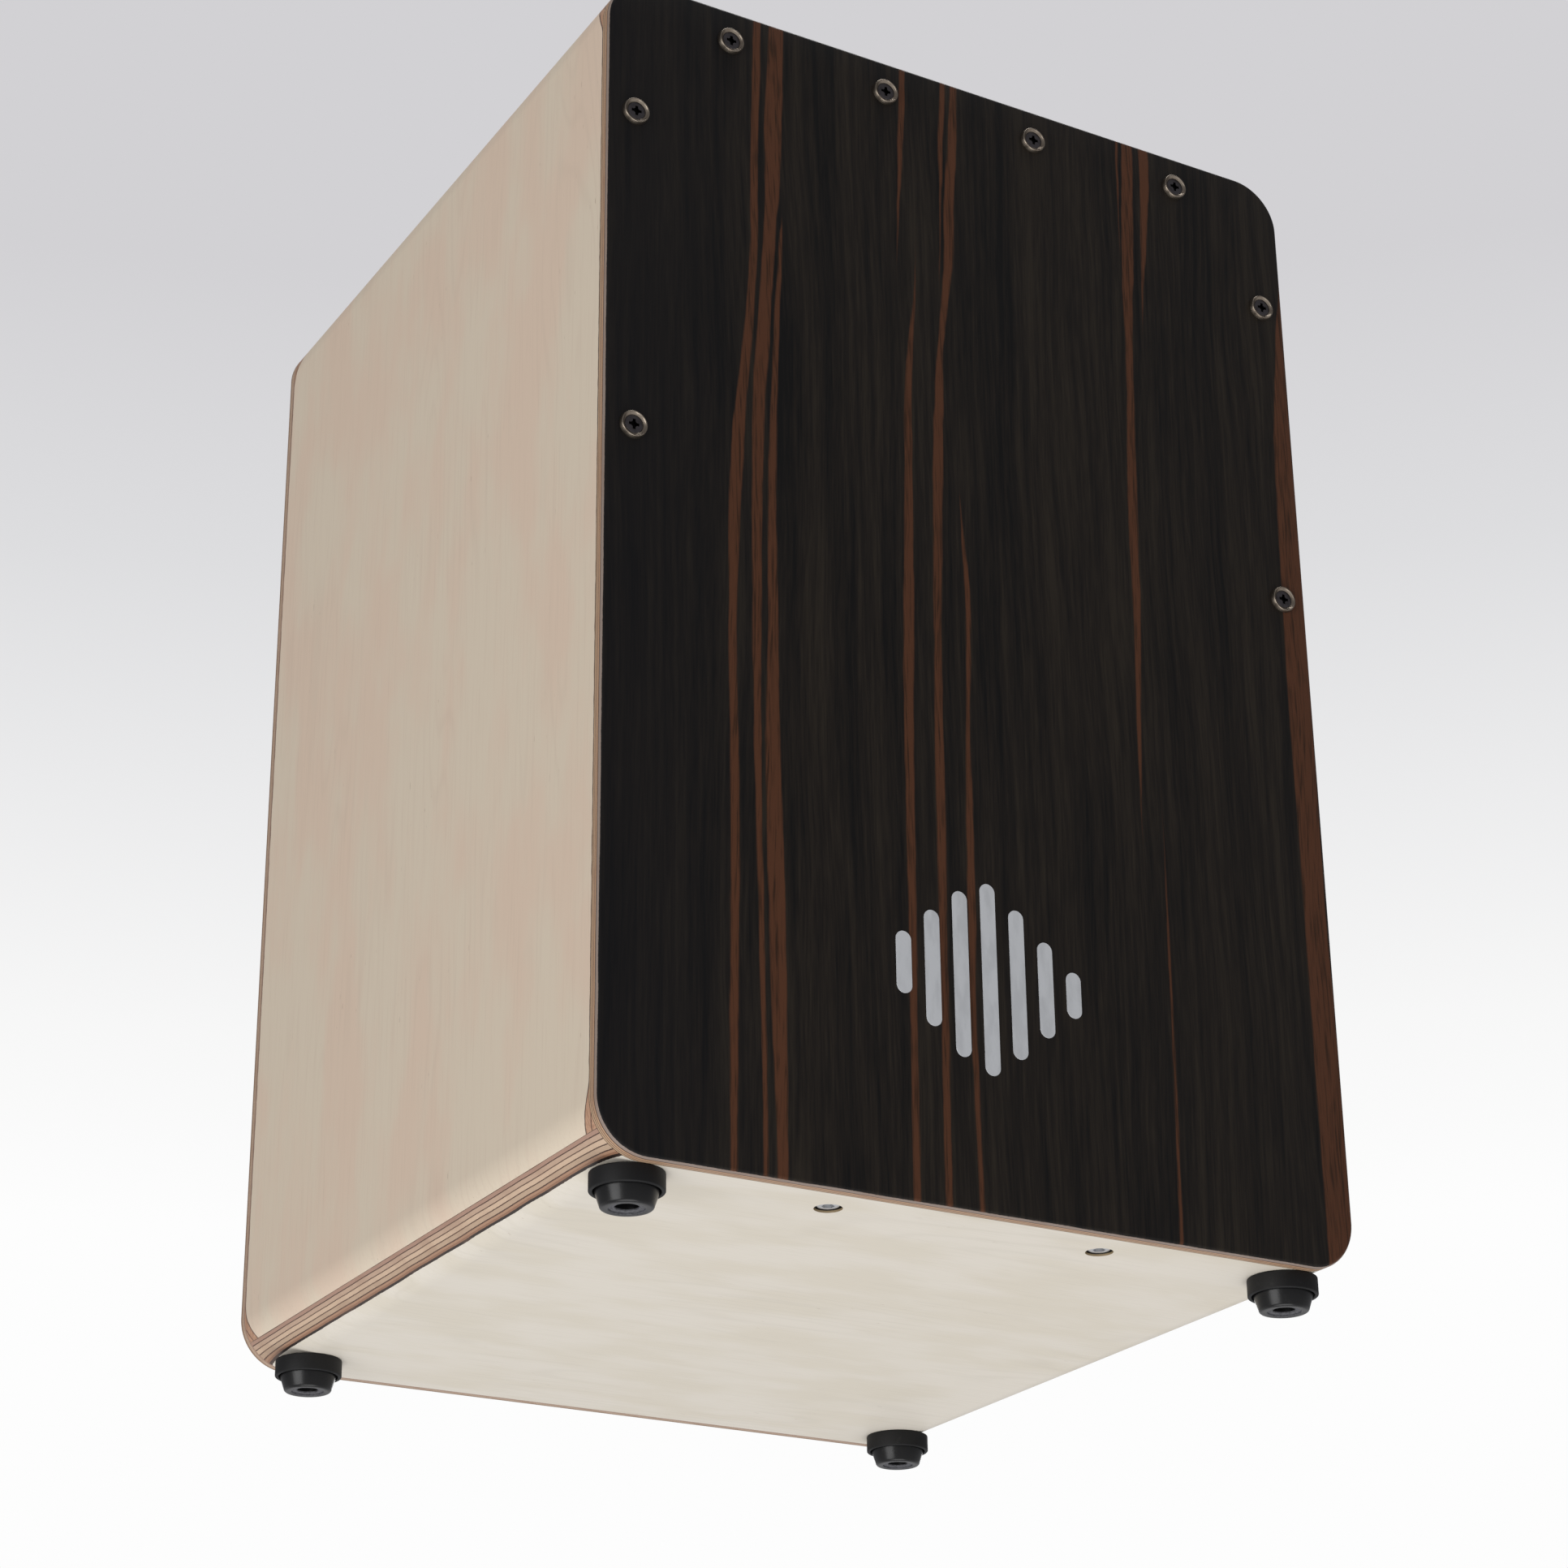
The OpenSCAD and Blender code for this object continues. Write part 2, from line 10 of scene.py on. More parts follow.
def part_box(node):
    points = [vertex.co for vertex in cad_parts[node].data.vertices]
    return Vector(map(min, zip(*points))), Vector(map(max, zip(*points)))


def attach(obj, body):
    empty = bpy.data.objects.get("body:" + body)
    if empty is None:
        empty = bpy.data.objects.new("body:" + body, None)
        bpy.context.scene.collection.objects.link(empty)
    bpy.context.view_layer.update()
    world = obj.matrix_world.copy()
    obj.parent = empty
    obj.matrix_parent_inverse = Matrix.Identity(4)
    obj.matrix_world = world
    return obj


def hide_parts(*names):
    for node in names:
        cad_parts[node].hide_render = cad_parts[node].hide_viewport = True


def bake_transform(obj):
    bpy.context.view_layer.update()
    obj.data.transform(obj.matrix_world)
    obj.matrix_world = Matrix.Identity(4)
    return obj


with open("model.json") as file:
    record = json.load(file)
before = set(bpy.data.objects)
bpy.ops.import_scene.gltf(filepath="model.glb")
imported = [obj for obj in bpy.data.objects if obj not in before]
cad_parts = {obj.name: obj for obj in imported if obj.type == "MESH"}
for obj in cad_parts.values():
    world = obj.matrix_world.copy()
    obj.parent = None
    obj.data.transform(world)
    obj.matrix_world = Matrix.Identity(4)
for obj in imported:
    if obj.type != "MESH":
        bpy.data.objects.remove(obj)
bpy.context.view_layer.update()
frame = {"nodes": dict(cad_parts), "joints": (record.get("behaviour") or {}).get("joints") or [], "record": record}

bl_info = {
    "name": "Cajon",
    "version": (1, 0, 0),
    "blender": (4, 5, 0),
    "location": "3D View > Sidebar > Cajon",
    "description": "Panels, fixings, feet and snare strings of a plywood box drum",
    "category": "Object",
}

MM = 0.001
# Thickness in mm of the four plywood panels, and of the front plate and the back panel.
PANEL, THIN = 9.0, 5.0
# Clearance around a screw in its hole.
GAP = 0.05 * MM
# How far from their front and rear ends the panels' faces are sanded down.
SANDED = 24 * MM

# ---- places taken from the frame ----

INNER_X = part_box("side_panel_right")[0].x
OUTER_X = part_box("side_panel_right")[1].x
UNDER_Z, FLOOR_Z = (corner.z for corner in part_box("bottom_panel"))
CEILING_Z, TOP_Z = (corner.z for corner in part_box("top_panel"))
FRONT_Y, PLATE_Y = (corner.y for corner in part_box("front_plate"))
REAR_Y, BACK_Y = (corner.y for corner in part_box("back_panel"))
HOLE = next(m for m in frame["record"]["mounts"] if m["name"] == "sound_hole")
SIDES = {"left": -1, "right": 1}
ENDS = ("front", "rear")


def linear(red, green, blue):
    """A colour given as 0 to 255 screen values, as Blender's linear values."""
    return tuple(
        value / 12.92 if value <= 0.04045 else ((value + 0.055) / 1.055) ** 2.4
        for value in (red / 255, green / 255, blue / 255)
    )


def length(name, description, default):
    return FloatProperty(
        name=name, description=description, default=default * MM, min=0.0,
        unit="LENGTH", subtype="DISTANCE",
    )


def colour(name, description, *screen):
    return FloatVectorProperty(
        name=name, description=description, default=linear(*screen), size=3,
        min=0.0, max=1.0, subtype="COLOR",
    )


class CajonSizes(bpy.types.PropertyGroup):
    corner_radius: length("Corner radius", "Rounding of the box's four long edges", 19)
    plate_ease: length("Plate edge", "Rounding of the front plate's outer edge", 1.5)
    back_ease: length("Back edge", "Rounding of the back panel's outer edge", 1.5)
    hole_ease: length("Hole edge", "Rounding of the sound hole's edge", 1.0)
    mark_bar: length("Mark bar", "Width of one bar of the mark", 6)
    screw_pitch: length("Screw pitch", "Distance between two screws of the top row", 66.6)
    side_screw_drop: length("Side screw drop", "Top row down to the upper side screws", 44)
    shank_radius: length("Shank radius", "Radius of a plate screw's shank", 1.75)
    head_radius: length("Head radius", "Radius of a plate screw's head", 3.5)
    washer_height: length("Washer height", "Height of a cup washer above the plate", 1.8)
    washer_rim: length("Washer rim", "Rounding of a cup washer's rim", 0.3)
    head_height: length("Head height", "Height of a screw's flat head above the plate", 1.1)
    shank_point: length("Shank point", "Length of the point of a plate screw", 1.5)
    cross_width: length("Cross width", "Width of one arm of a screw's cross", 1.15)
    cross_length: length("Cross length", "Length of one arm of a screw's cross", 4.0)
    cross_depth: length("Cross depth", "Depth of a screw's cross", 0.85)
    cup_wall: length("Cup wall", "Wall of a foot's cup", 1.4)
    cup_base: length("Cup base", "Thickness of the base of a foot's cup", 2)
    rubber_tip: length("Rubber tip", "Radius of a foot's rubber at the floor", 9)
    rubber_hole: length("Rubber hole", "Radius of the hole up a foot's rubber", 4)
    rubber_dish: length("Rubber dish", "Radius of the dish in a foot's rubber", 6)
    rubber_ledge: length("Rubber ledge", "Height of the ledge that a foot's screw holds", 7)
    foot_screw: length("Foot screw", "Radius of the screw hole through a foot", 2.05)
    recess_radius: length("Recess radius", "Radius of the recess around an adjuster", 4.9)
    recess_depth: length("Recess depth", "Depth of the recess around an adjuster", 4)
    adjuster_head: length("Adjuster head", "Height of an adjuster's head", 3.1)
    socket_radius: length("Socket radius", "Radius of an adjuster's hexagon socket", 2.3)
    socket_depth: length("Socket depth", "Depth of an adjuster's hexagon socket", 2)
    thread_start: length("Thread start", "Plain shank of an adjuster above the panel", 5)
    thread_radius: length("Thread radius", "Outer radius of an adjuster's thread", 2.5)
    thread_pitch: length("Thread pitch", "Rise of one turn of an adjuster's thread", 0.8)
    string_radius: length("String radius", "Radius of a snare string", 0.45)
    string_pitch: length("String pitch", "Distance between the two strings of a set", 16)
    ball_height: length("Ball height", "Length of the ball at a string's end", 3)


class CajonColours(bpy.types.PropertyGroup):
    side: colour("Side veneer", "Pale face of the side, top and back panels", 205, 191, 171)
    side_warm: colour("Side veneer, warm", "Warmer patches of the pale face", 206, 185, 165)
    bottom: colour("Bottom veneer", "Cream face of the bottom panel", 207, 200, 188)
    bottom_warm: colour("Bottom veneer, warm", "Warmer patches of it", 202, 194, 179)
    plate: colour("Plate veneer", "Brownish black face of the front plate", 28, 23, 19)
    plate_dark: colour("Plate veneer, dark", "Black streaks of it", 11, 10, 10)
    plate_light: colour("Plate veneer, light", "Lighter streaks of it", 41, 35, 28)
    # Painted reflection: the cool bluish black that the front plate turns toward its left.
    plate_painted_sheen: colour("Plate veneer, cool", "Bluish black at its left", 13, 13, 16)
    stripe: colour("Stripe", "Orange-brown stripes of the front plate", 84, 51, 33)
    stripe_dark: colour("Stripe, dark", "Darker fibres of the stripes", 52, 32, 19)
    batten: colour("Batten", "Raw softwood of the battens", 196, 160, 112)
    mark: colour("Mark", "Light grey print of the mark", 200, 202, 205)
    nickel: colour("Dark nickel", "Plate screws", 92, 88, 90)
    bronze: colour("Bronzed nickel", "Cup washers", 146, 135, 122)
    zinc: colour("Bright zinc", "Adjusters and small screws", 214, 215, 217)
    steel: colour("Strip steel", "Guide brackets and string anchors", 160, 162, 165)
    brass: colour("Brass", "Tension carriages", 198, 164, 96)
    rubber: colour("Rubber", "Rubber of the feet", 9, 9, 10)
    # Painted highlight: grey of the matte dish under a foot.
    rubber_painted_highlight: colour("Worn rubber", "Dish in the rubber of a foot", 84, 84, 88)
    plastic: colour("Cup plastic", "Cups of the feet", 10, 10, 11)
    floor: colour("Floor", "Plain pale floor", 232, 232, 233)


# ---- modelling by hand ----


def deselect():
    bpy.ops.object.select_all(action="DESELECT")


def only(piece):
    """Leave a piece as the only selected and the active one."""
    deselect()
    piece.select_set(True)
    bpy.context.view_layer.objects.active = piece


def settle(name):
    """Name the new object, and put its place, turn and scale into its mesh."""
    piece = bpy.context.object
    piece.name = piece.data.name = name
    bpy.ops.object.transform_apply(location=True, rotation=True, scale=True)
    return piece


def block(name, low, high):
    """A block between its lowest and its highest corner."""
    low, high = Vector(low), Vector(high)
    deselect()
    bpy.ops.mesh.primitive_cube_add(size=1, location=(low + high) / 2)
    bpy.context.object.scale = high - low
    return settle(name)


def rod(name, start, end, radius, sides=64):
    """A straight rod between two points."""
    start, end = Vector(start), Vector(end)
    deselect()
    bpy.ops.mesh.primitive_cylinder_add(
        vertices=sides, radius=radius, depth=(end - start).length, location=(start + end) / 2,
        rotation=(end - start).to_track_quat("Z", "Y").to_euler(),
    )
    return settle(name)


def edit(piece, kind="FACE", wanted=None):
    """Open a piece in edit mode, with the edges or faces selected that are wanted."""
    only(piece)
    bpy.ops.object.mode_set(mode="EDIT")
    bpy.ops.mesh.select_mode(type=kind)
    bpy.ops.mesh.select_all(action="DESELECT" if wanted else "SELECT")
    if wanted:
        mesh = bmesh.from_edit_mesh(piece.data)
        for item in mesh.edges if kind == "EDGE" else mesh.faces:
            if wanted(item):
                item.select_set(True)
        bmesh.update_edit_mesh(piece.data)


def close_edit():
    bpy.ops.object.mode_set(mode="OBJECT")


def round_edges(piece, wanted, radius, steps):
    """Round the wanted edges of a piece."""
    edit(piece, "EDGE", wanted)
    bpy.ops.mesh.bevel(offset=radius, segments=steps, affect="EDGES")
    close_edit()


def trim(piece, point, normal):
    """Cut off what lies beyond a plane, and close the cut."""
    edit(piece)
    bpy.ops.mesh.bisect(plane_co=point, plane_no=normal, use_fill=True, clear_outer=True)
    close_edit()


def cut(piece, cutter):
    """Take the cutter's shape out of a piece."""
    only(piece)
    bpy.ops.object.modifier_add(type="BOOLEAN")
    modifier = piece.modifiers[-1]
    modifier.operation, modifier.solver, modifier.object = "DIFFERENCE", "EXACT", cutter
    bpy.ops.object.modifier_apply(modifier=modifier.name)
    bpy.data.objects.remove(cutter)


def copied(piece, offset):
    """A copy of a piece with its own mesh, moved by an offset."""
    twin = piece.copy()
    twin.data = piece.data.copy()
    twin.data.transform(Matrix.Translation(offset))
    bpy.context.collection.objects.link(twin)
    return twin


def joined(name, parts):
    """Several parts as one piece."""
    only(parts[0])
    for part in parts[1:]:
        part.select_set(True)
    if len(parts) > 1:
        bpy.ops.object.join()
    parts[0].name = parts[0].data.name = name
    return parts[0]


def arc(radius, height, reach, rise, start, end, steps=6):
    """Rings of a rounded edge about (radius, height), between two angles in degrees."""
    angles = (math.radians(start + (end - start) * i / steps) for i in range(steps + 1))
    return [(radius + reach * math.cos(a), height + rise * math.sin(a)) for a in angles]


def turned(name, centre, rings, hollow=False, sides=64):
    """Turn a piece on an upright axis: a circle drawn out and scaled from ring to ring."""
    x, y, z = centre
    radius, height = rings[0]
    deselect()
    bpy.ops.mesh.primitive_circle_add(
        vertices=sides, radius=radius, location=(x, y, z + height),
        fill_type="NOTHING" if hollow else "NGON",
    )
    piece = settle(name)
    edit(piece, "EDGE" if hollow else "FACE")
    for wide, high in list(rings[1:]) + ([rings[0]] if hollow else []):
        bpy.ops.mesh.extrude_region_move(
            TRANSFORM_OT_translate={"value": (0, 0, high - height)}
        )
        factor = wide / radius
        bpy.ops.transform.resize(
            value=(factor, factor, 1), center_override=(x, y, z + high)
        )
        radius, height = wide, high
    bpy.ops.mesh.select_all(action="SELECT")
    if hollow:
        bpy.ops.mesh.remove_doubles(threshold=0.001 * MM)
    bpy.ops.mesh.normals_make_consistent(inside=False)
    close_edit()
    return piece


def face_front(piece):
    """Turn a piece that stands at the origin so that it points out of the front plate."""
    piece.data.transform(Matrix.Rotation(math.radians(90), 4, "X"))


def done(piece, material, slot, body, *nodes, angle=35):
    """Shade a finished piece smooth, give it its material, attach it to its body, and hide the CAD nodes it stands
    for.
    """
    only(piece)
    bpy.ops.object.shade_smooth_by_angle(angle=math.radians(angle))
    piece.data.materials.clear()
    piece.data.materials.append(material)
    if body:
        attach(piece, body)
    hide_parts(*nodes)
    return piece


def coat(material, *nodes):
    """Give CAD nodes that stay as they are a finish."""
    for name in nodes:
        mesh = frame["nodes"][name].data
        mesh.materials.clear()
        mesh.materials.append(material)


# ---- finishes ----


class Shade:
    """A socket of a material's nodes, with sums on it that add the nodes they need."""

    def __init__(self, tree, socket):
        self.tree = tree
        self.socket = socket

    def node(self, kind, settings=None, sockets=None, out=0):
        """Add a node: its settings first, then the values or links of its sockets."""
        made = self.tree.nodes.new("ShaderNode" + kind)
        for name, value in (settings or {}).items():
            setattr(made, name, value)
        for key, value in (sockets or {}).items():
            if isinstance(value, Shade):
                self.tree.links.new(value.socket, made.inputs[key])
            else:
                made.inputs[key].default_value = value
        return Shade(self.tree, made.outputs[out])

    def math(self, operation, *terms, clamp=False):
        return self.node(
            "Math", {"operation": operation, "use_clamp": clamp}, dict(enumerate(terms))
        )

    def __add__(self, other):
        return self.math("ADD", self, other)

    def __sub__(self, other):
        return self.math("SUBTRACT", self, other)

    def __rsub__(self, other):
        return self.math("SUBTRACT", other, self)

    def __mul__(self, other):
        return self.math("MULTIPLY", self, other)

    def __truediv__(self, other):
        return self.math("DIVIDE", self, other)

    def __gt__(self, other):
        return self.math("GREATER_THAN", self, other)

    def __lt__(self, other):
        return self.math("LESS_THAN", self, other)

    def __abs__(self):
        return self.math("ABSOLUTE", self)

    __radd__ = __add__
    __rmul__ = __mul__

    def held(self):
        """This value, kept between 0 and 1."""
        return self.math("ADD", self, 0.0, clamp=True)

    def over(self, start, end):
        """0 below start, 1 above end, and a smooth rise between them."""
        return self.node(
            "MapRange", {"interpolation_type": "SMOOTHSTEP"},
            {"Value": self, "From Min": start, "From Max": end},
        )

    def ramp(self, stops, interpolation="LINEAR"):
        """The colour at this value on a ramp of (position, colour) stops."""
        made = self.node("ValToRGB", None, {"Fac": self})
        ramp = made.socket.node.color_ramp
        ramp.interpolation = interpolation
        ramp.elements.remove(ramp.elements[-1])
        for i, (position, tint) in enumerate(stops):
            element = ramp.elements.new(position) if i else ramp.elements[0]
            element.position, element.color = position, (*tint, 1)
        return made

    def axes(self):
        """The three parts of a vector or colour."""
        return [self.node("SeparateXYZ", None, {0: self}, out=i) for i in range(3)]

    def streaks(self, width, stretch=(1, 1, 1), detail=3.0, seed=0.0):
        """Noise about width across, drawn out along an axis by its (x, y, z) stretch."""
        drawn = self.node(
            "Mapping", None,
            {"Vector": self, "Location": (seed, seed, seed),
             "Scale": tuple(1 / part for part in stretch)},
        )
        return self.node(
            "TexNoise", None,
            {"Vector": drawn, "Scale": 1 / width, "Detail": detail, "Roughness": 0.5},
        )


def mix(first, second, share):
    """Colour between two colours; any of the three may be a socket."""
    shade = next(item for item in (first, second, share) if isinstance(item, Shade))
    first, second = (
        item if isinstance(item, Shade) else (*item, 1) for item in (first, second)
    )
    return shade.node("Mix", {"data_type": "RGBA"}, {0: share, 6: first, 7: second}, out=2)


def new_finish(name):
    """A new material, with its place on the object and its surface shader."""
    material = bpy.data.materials.new(name)
    material.use_nodes = True
    tree = material.node_tree
    spot = tree.nodes.new("ShaderNodeTexCoord")
    return material, Shade(tree, spot.outputs["Object"]), tree.nodes["Principled BSDF"]


def set_surface(surface, place, tint, roughness, bump=None, depth=0.1 * MM, **fixed):
    """Feed a surface its colour, roughness and bump, and set the sockets that are fixed."""
    for name, value in (("Base Color", tint), ("Roughness", roughness)):
        if isinstance(value, Shade):
            place.tree.links.new(value.socket, surface.inputs[name])
        else:
            surface.inputs[name].default_value = (*value, 1) if name == "Base Color" else value
    if bump:
        raised = place.node("Bump", None, {"Strength": 1.0, "Distance": depth, "Height": bump})
        place.tree.links.new(raised.socket, surface.inputs["Normal"])
    for name, value in fixed.items():
        surface.inputs[name.replace("_", " ")].default_value = value


# Plies of a 9 mm panel below its face veneer: depth in mm where each starts, and its colour.
# The thin dark entries are glue lines.
PANEL_PLIES = (
    (2.32, (34, 20, 13)), (2.78, (132, 96, 73)), (3.2, (154, 119, 94)),
    (3.66, (66, 43, 30)), (3.93, (168, 143, 120)), (4.89, (76, 53, 38)),
    (5.14, (186, 160, 136)), (6.2, (78, 56, 42)), (6.45, (172, 145, 124)),
    (7.59, (68, 46, 34)), (7.86, (156, 124, 107)), (8.8, (72, 50, 38)),
)
# The same for the 5 mm front plate and back panel.
THIN_PLIES = (
    (0.45, (134, 120, 111)), (1.45, (58, 37, 28)), (1.85, (170, 138, 111)),
    (2.68, (72, 51, 38)), (2.94, (166, 137, 112)), (3.78, (72, 50, 38)),
    (4.04, (172, 145, 118)), (4.7, (56, 39, 29)),
)
# The wedge of second ply at a side panel's sanded corners, in mm: how far it reaches, and
# where a line crosses it.
WEDGE, WEDGE_LINE = 14.8, 4.2
# Stripes of the front plate's veneer. Each is a list of (height above the underside of the
# box, middle, half width), in mm.
STRIPES = (
    ((0, -100.5, 1.8), (110, -99.5, 2.0), (200, -99.7, 2.1), (255, -98.2, 2.8),
     (295, -95, 2.5), (345, -91, 1.9), (400, -90, 1.9), (450, -88.4, 2.2)),
    ((0, -88.4, 1.3), (115, -89.9, 1.6), (200, -90.4, 2.1), (295, -88.4, 3.0),
     (365, -83.6, 3.0), (405, -82.2, 4.1), (450, -80, 3.3)),
    ((0, -82.3, 2.3), (65, -83, 3.5), (160, -84.5, 3.2), (200, -84, 2.5),
     (265, -83.5, 1.9), (330, -81.1, 1.4), (360, -79.2, 0.9), (370, -79, 0)),
    ((345, -30.5, 0), (375, -29.3, 0.6), (394, -28.1, 1.0), (425, -26.3, 1.7),
     (450, -25.3, 1.7)),
    ((0, -31.4, 1.9), (75, -30.7, 1.8), (190, -29.6, 2.5), (265, -27.2, 2.2),
     (310, -26.4, 1.9), (345, -23, 1.0), (385, -21.3, 0)),
    ((345, -11.5, 0), (365, -10.8, 0.5), (400, -9.4, 0.8), (425, -8.6, 1.5),
     (450, -6.9, 1.5)),
    ((0, -18.9, 1.7), (127, -18, 2.2), (215, -16.8, 2.1), (297, -13.8, 2.5),
     (332, -11.5, 1.7), (365, -7.4, 2.2), (400, -5.6, 2.5), (450, -2.1, 2.0)),
    ((0, -5.9, 1.3), (65, -7, 1.5), (130, -6.2, 2.0), (180, -5.1, 1.2),
     (225, -3.8, 1.5), (245, -4.3, 1.2), (270, -5.6, 0.4), (280, -6, 0)),
    ((385, 72, 0), (400, 72.3, 0.4), (450, 73.6, 1.0)),
    ((130, 67.5, 0), (175, 68.2, 0.9), (234, 70.6, 1.9), (283, 71.4, 2.4),
     (352, 73.9, 2.0), (387, 75.2, 3.1), (450, 78.4, 2.8)),
    ((350, 80.5, 0), (371, 81.3, 0.5), (389, 82.5, 1.2), (424, 84.9, 2.4),
     (450, 85.9, 2.7)),
    ((0, 74.8, 1.2), (44, 75.9, 1.0), (129, 76.8, 0.7), (185, 76.9, 0)),
    ((0, 144, 6.3), (158, 143.5, 5.5), (262, 144.6, 5.8), (335, 145, 4.4),
     (361, 146.5, 3.2), (388, 148, 1.9), (415, 150, 0)),
)
STRIPE_SPAN, STRIPE_WIDEST = 300.0, 10.0


def plies(place, face, depth, layers, thickness):
    """The face veneer and, where a panel's edge is cut through, the plies under it."""
    uneven = place.streaks(20 * MM, detail=1, seed=3.1) - 0.5
    torn = place.streaks(1.1 * MM, detail=2, seed=4.9) - 0.5
    cut_face = (depth / MM + uneven * 0.3 + torn * 0.16) / thickness
    shown = cut_face.ramp(
        [(start / thickness, linear(*tint)) for start, tint in layers], "CONSTANT"
    )
    brown = place.streaks(13 * MM, detail=2, seed=7.1).over(0.48, 0.7)
    speckle = place.streaks(0.5 * MM, detail=2, seed=7.7).over(0.55, 0.85)
    shown = mix(shown, linear(128, 96, 76), brown * 0.2 + speckle * 0.22)
    shown = mix(face, shown, cut_face > layers[0][0] / thickness)
    inner_face = depth > (thickness - 0.02) * MM
    return mix(shown, linear(198, 174, 144), inner_face)


def pale_veneer(place, plain, warm, along, patch):
    """Face of a pale birch panel: soft patches, faint growth lines, fine fibres and flecks."""
    def drawn(stretch):
        return tuple(stretch if axis == along else 1 for axis in "xyz")

    patches = place.streaks(patch, drawn(2.6), detail=3, seed=1.7)
    growth = place.streaks(34 * MM, drawn(8), detail=1, seed=3.6) * 26
    growth = growth.math("PINGPONG", growth, 1.0)
    fibres = place.streaks(0.8 * MM, drawn(34), detail=3, seed=5.3)
    flecks = place.streaks(0.7 * MM, drawn(9), detail=1, seed=9.1)
    spread = place.streaks(60 * MM, detail=1, seed=2.2)
    tint = mix(plain, warm, patches.over(0.38, 0.62))
    shaded = tuple(part * 0.84 for part in warm)
    tint = mix(tint, shaded, growth.over(0.55, 1.0) * spread.over(0.4, 0.65) * 0.22)
    tint = mix(tint, shaded, fibres.over(0.5, 0.78) * 0.3)
    flecked = flecks.over(0.76, 0.82) * spread.over(0.5, 0.62) * 0.75
    tint = mix(tint, linear(128, 98, 72), flecked)
    return tint, fibres


def plywood(name, plain, warm, depth_of, along="z", patch=30 * MM, detail=None):
    """Finish of a birch plywood panel, by how deep a point lies below its outer face."""
    material, place, surface = new_finish(name)
    x, y, z = place.axes()
    face, fibres = pale_veneer(place, plain, warm, along, patch)
    tint = plies(place, face, depth_of(x, y, z), PANEL_PLIES, PANEL)
    if detail:
        tint = detail(place, tint, x, y, z)
    set_surface(surface, place, tint, 0.42 + fibres * 0.14, fibres, 0.03 * MM)
    return material


def from_ends(y):
    """How far a point is from the front plate or the back panel, whichever is nearer."""
    return y.math("MINIMUM", y - PLATE_Y, REAR_Y - y)


def kept(depth):
    """Depth below a side panel's outer face, whose veneer reaches down to the joints."""
    return depth - (PANEL * MM - depth) * 0.12


def sanded(depth, y):
    """Depth below a panel's outer face: near the ends more of the face is sanded off."""
    near = (1 - from_ends(y) / SANDED).held()
    return depth + near * near * (PANEL * MM - depth) * 0.135


def ply_wedge(place, tint, x, y, z):
    """The second ply, laid bare where a side panel's end corners are sanded round."""
    above = z.math("MINIMUM", z - UNDER_Z, TOP_Z - z) / SANDED
    reach = (1 - above).held()
    reach = reach.math("POWER", reach, 1.5) * WEDGE
    wander = place.streaks(3 * MM, (1, 1, 2), detail=2, seed=4.4) - 0.5
    bare = reach - from_ends(y) / MM + wander * 0.8
    fibre = place.streaks(0.7 * MM, (1, 1, 12), detail=2, seed=6.1)
    orange = mix(linear(172, 134, 108), linear(146, 108, 84), fibre.over(0.4, 0.7))
    tint = mix(tint, orange, bare > 0.0)
    line = (abs(bare) < 0.34) + (abs(bare - WEDGE_LINE) < 0.3)
    return mix(tint, linear(70, 48, 37), line.held() * 0.9)


def recess_painted_shade(place, tint, x, y, z):
    """Walls of the recesses around the adjusters: unlacquered wood at the rim, and painted shade, near black,
    deeper in.
    """
    axis = adjuster_axis("right")
    sizes = bpy.context.scene.cajon_sizes
    across, along = abs(x) - axis.x, y - axis.y
    near = across * across + along * along < (sizes.recess_radius + GAP) ** 2
    tint = mix(tint, linear(150, 130, 98), near * (z > UNDER_Z + GAP))
    # Painted shade: the recess walls turn near black deeper in.
    return mix(tint, linear(22, 18, 15), near * (z > UNDER_Z + 0.8 * MM))


def stripe_mask(across, high, points):
    """Where one stripe of the veneer lies, soft at its edges."""
    tall = (TOP_Z - UNDER_Z) / MM
    stops = [
        (height / tall, (middle / STRIPE_SPAN + 0.5, half / STRIPE_WIDEST, 0))
        for height, middle, half in points
    ]
    middle, half, _ = high.ramp(stops, "CARDINAL").axes()
    inside = half * STRIPE_WIDEST - abs(across - (middle - 0.5) * STRIPE_SPAN)
    within = (high > points[0][0] / tall - 0.002) * (high < points[-1][0] / tall + 0.002)
    return inside.over(0.0, 0.9) * within


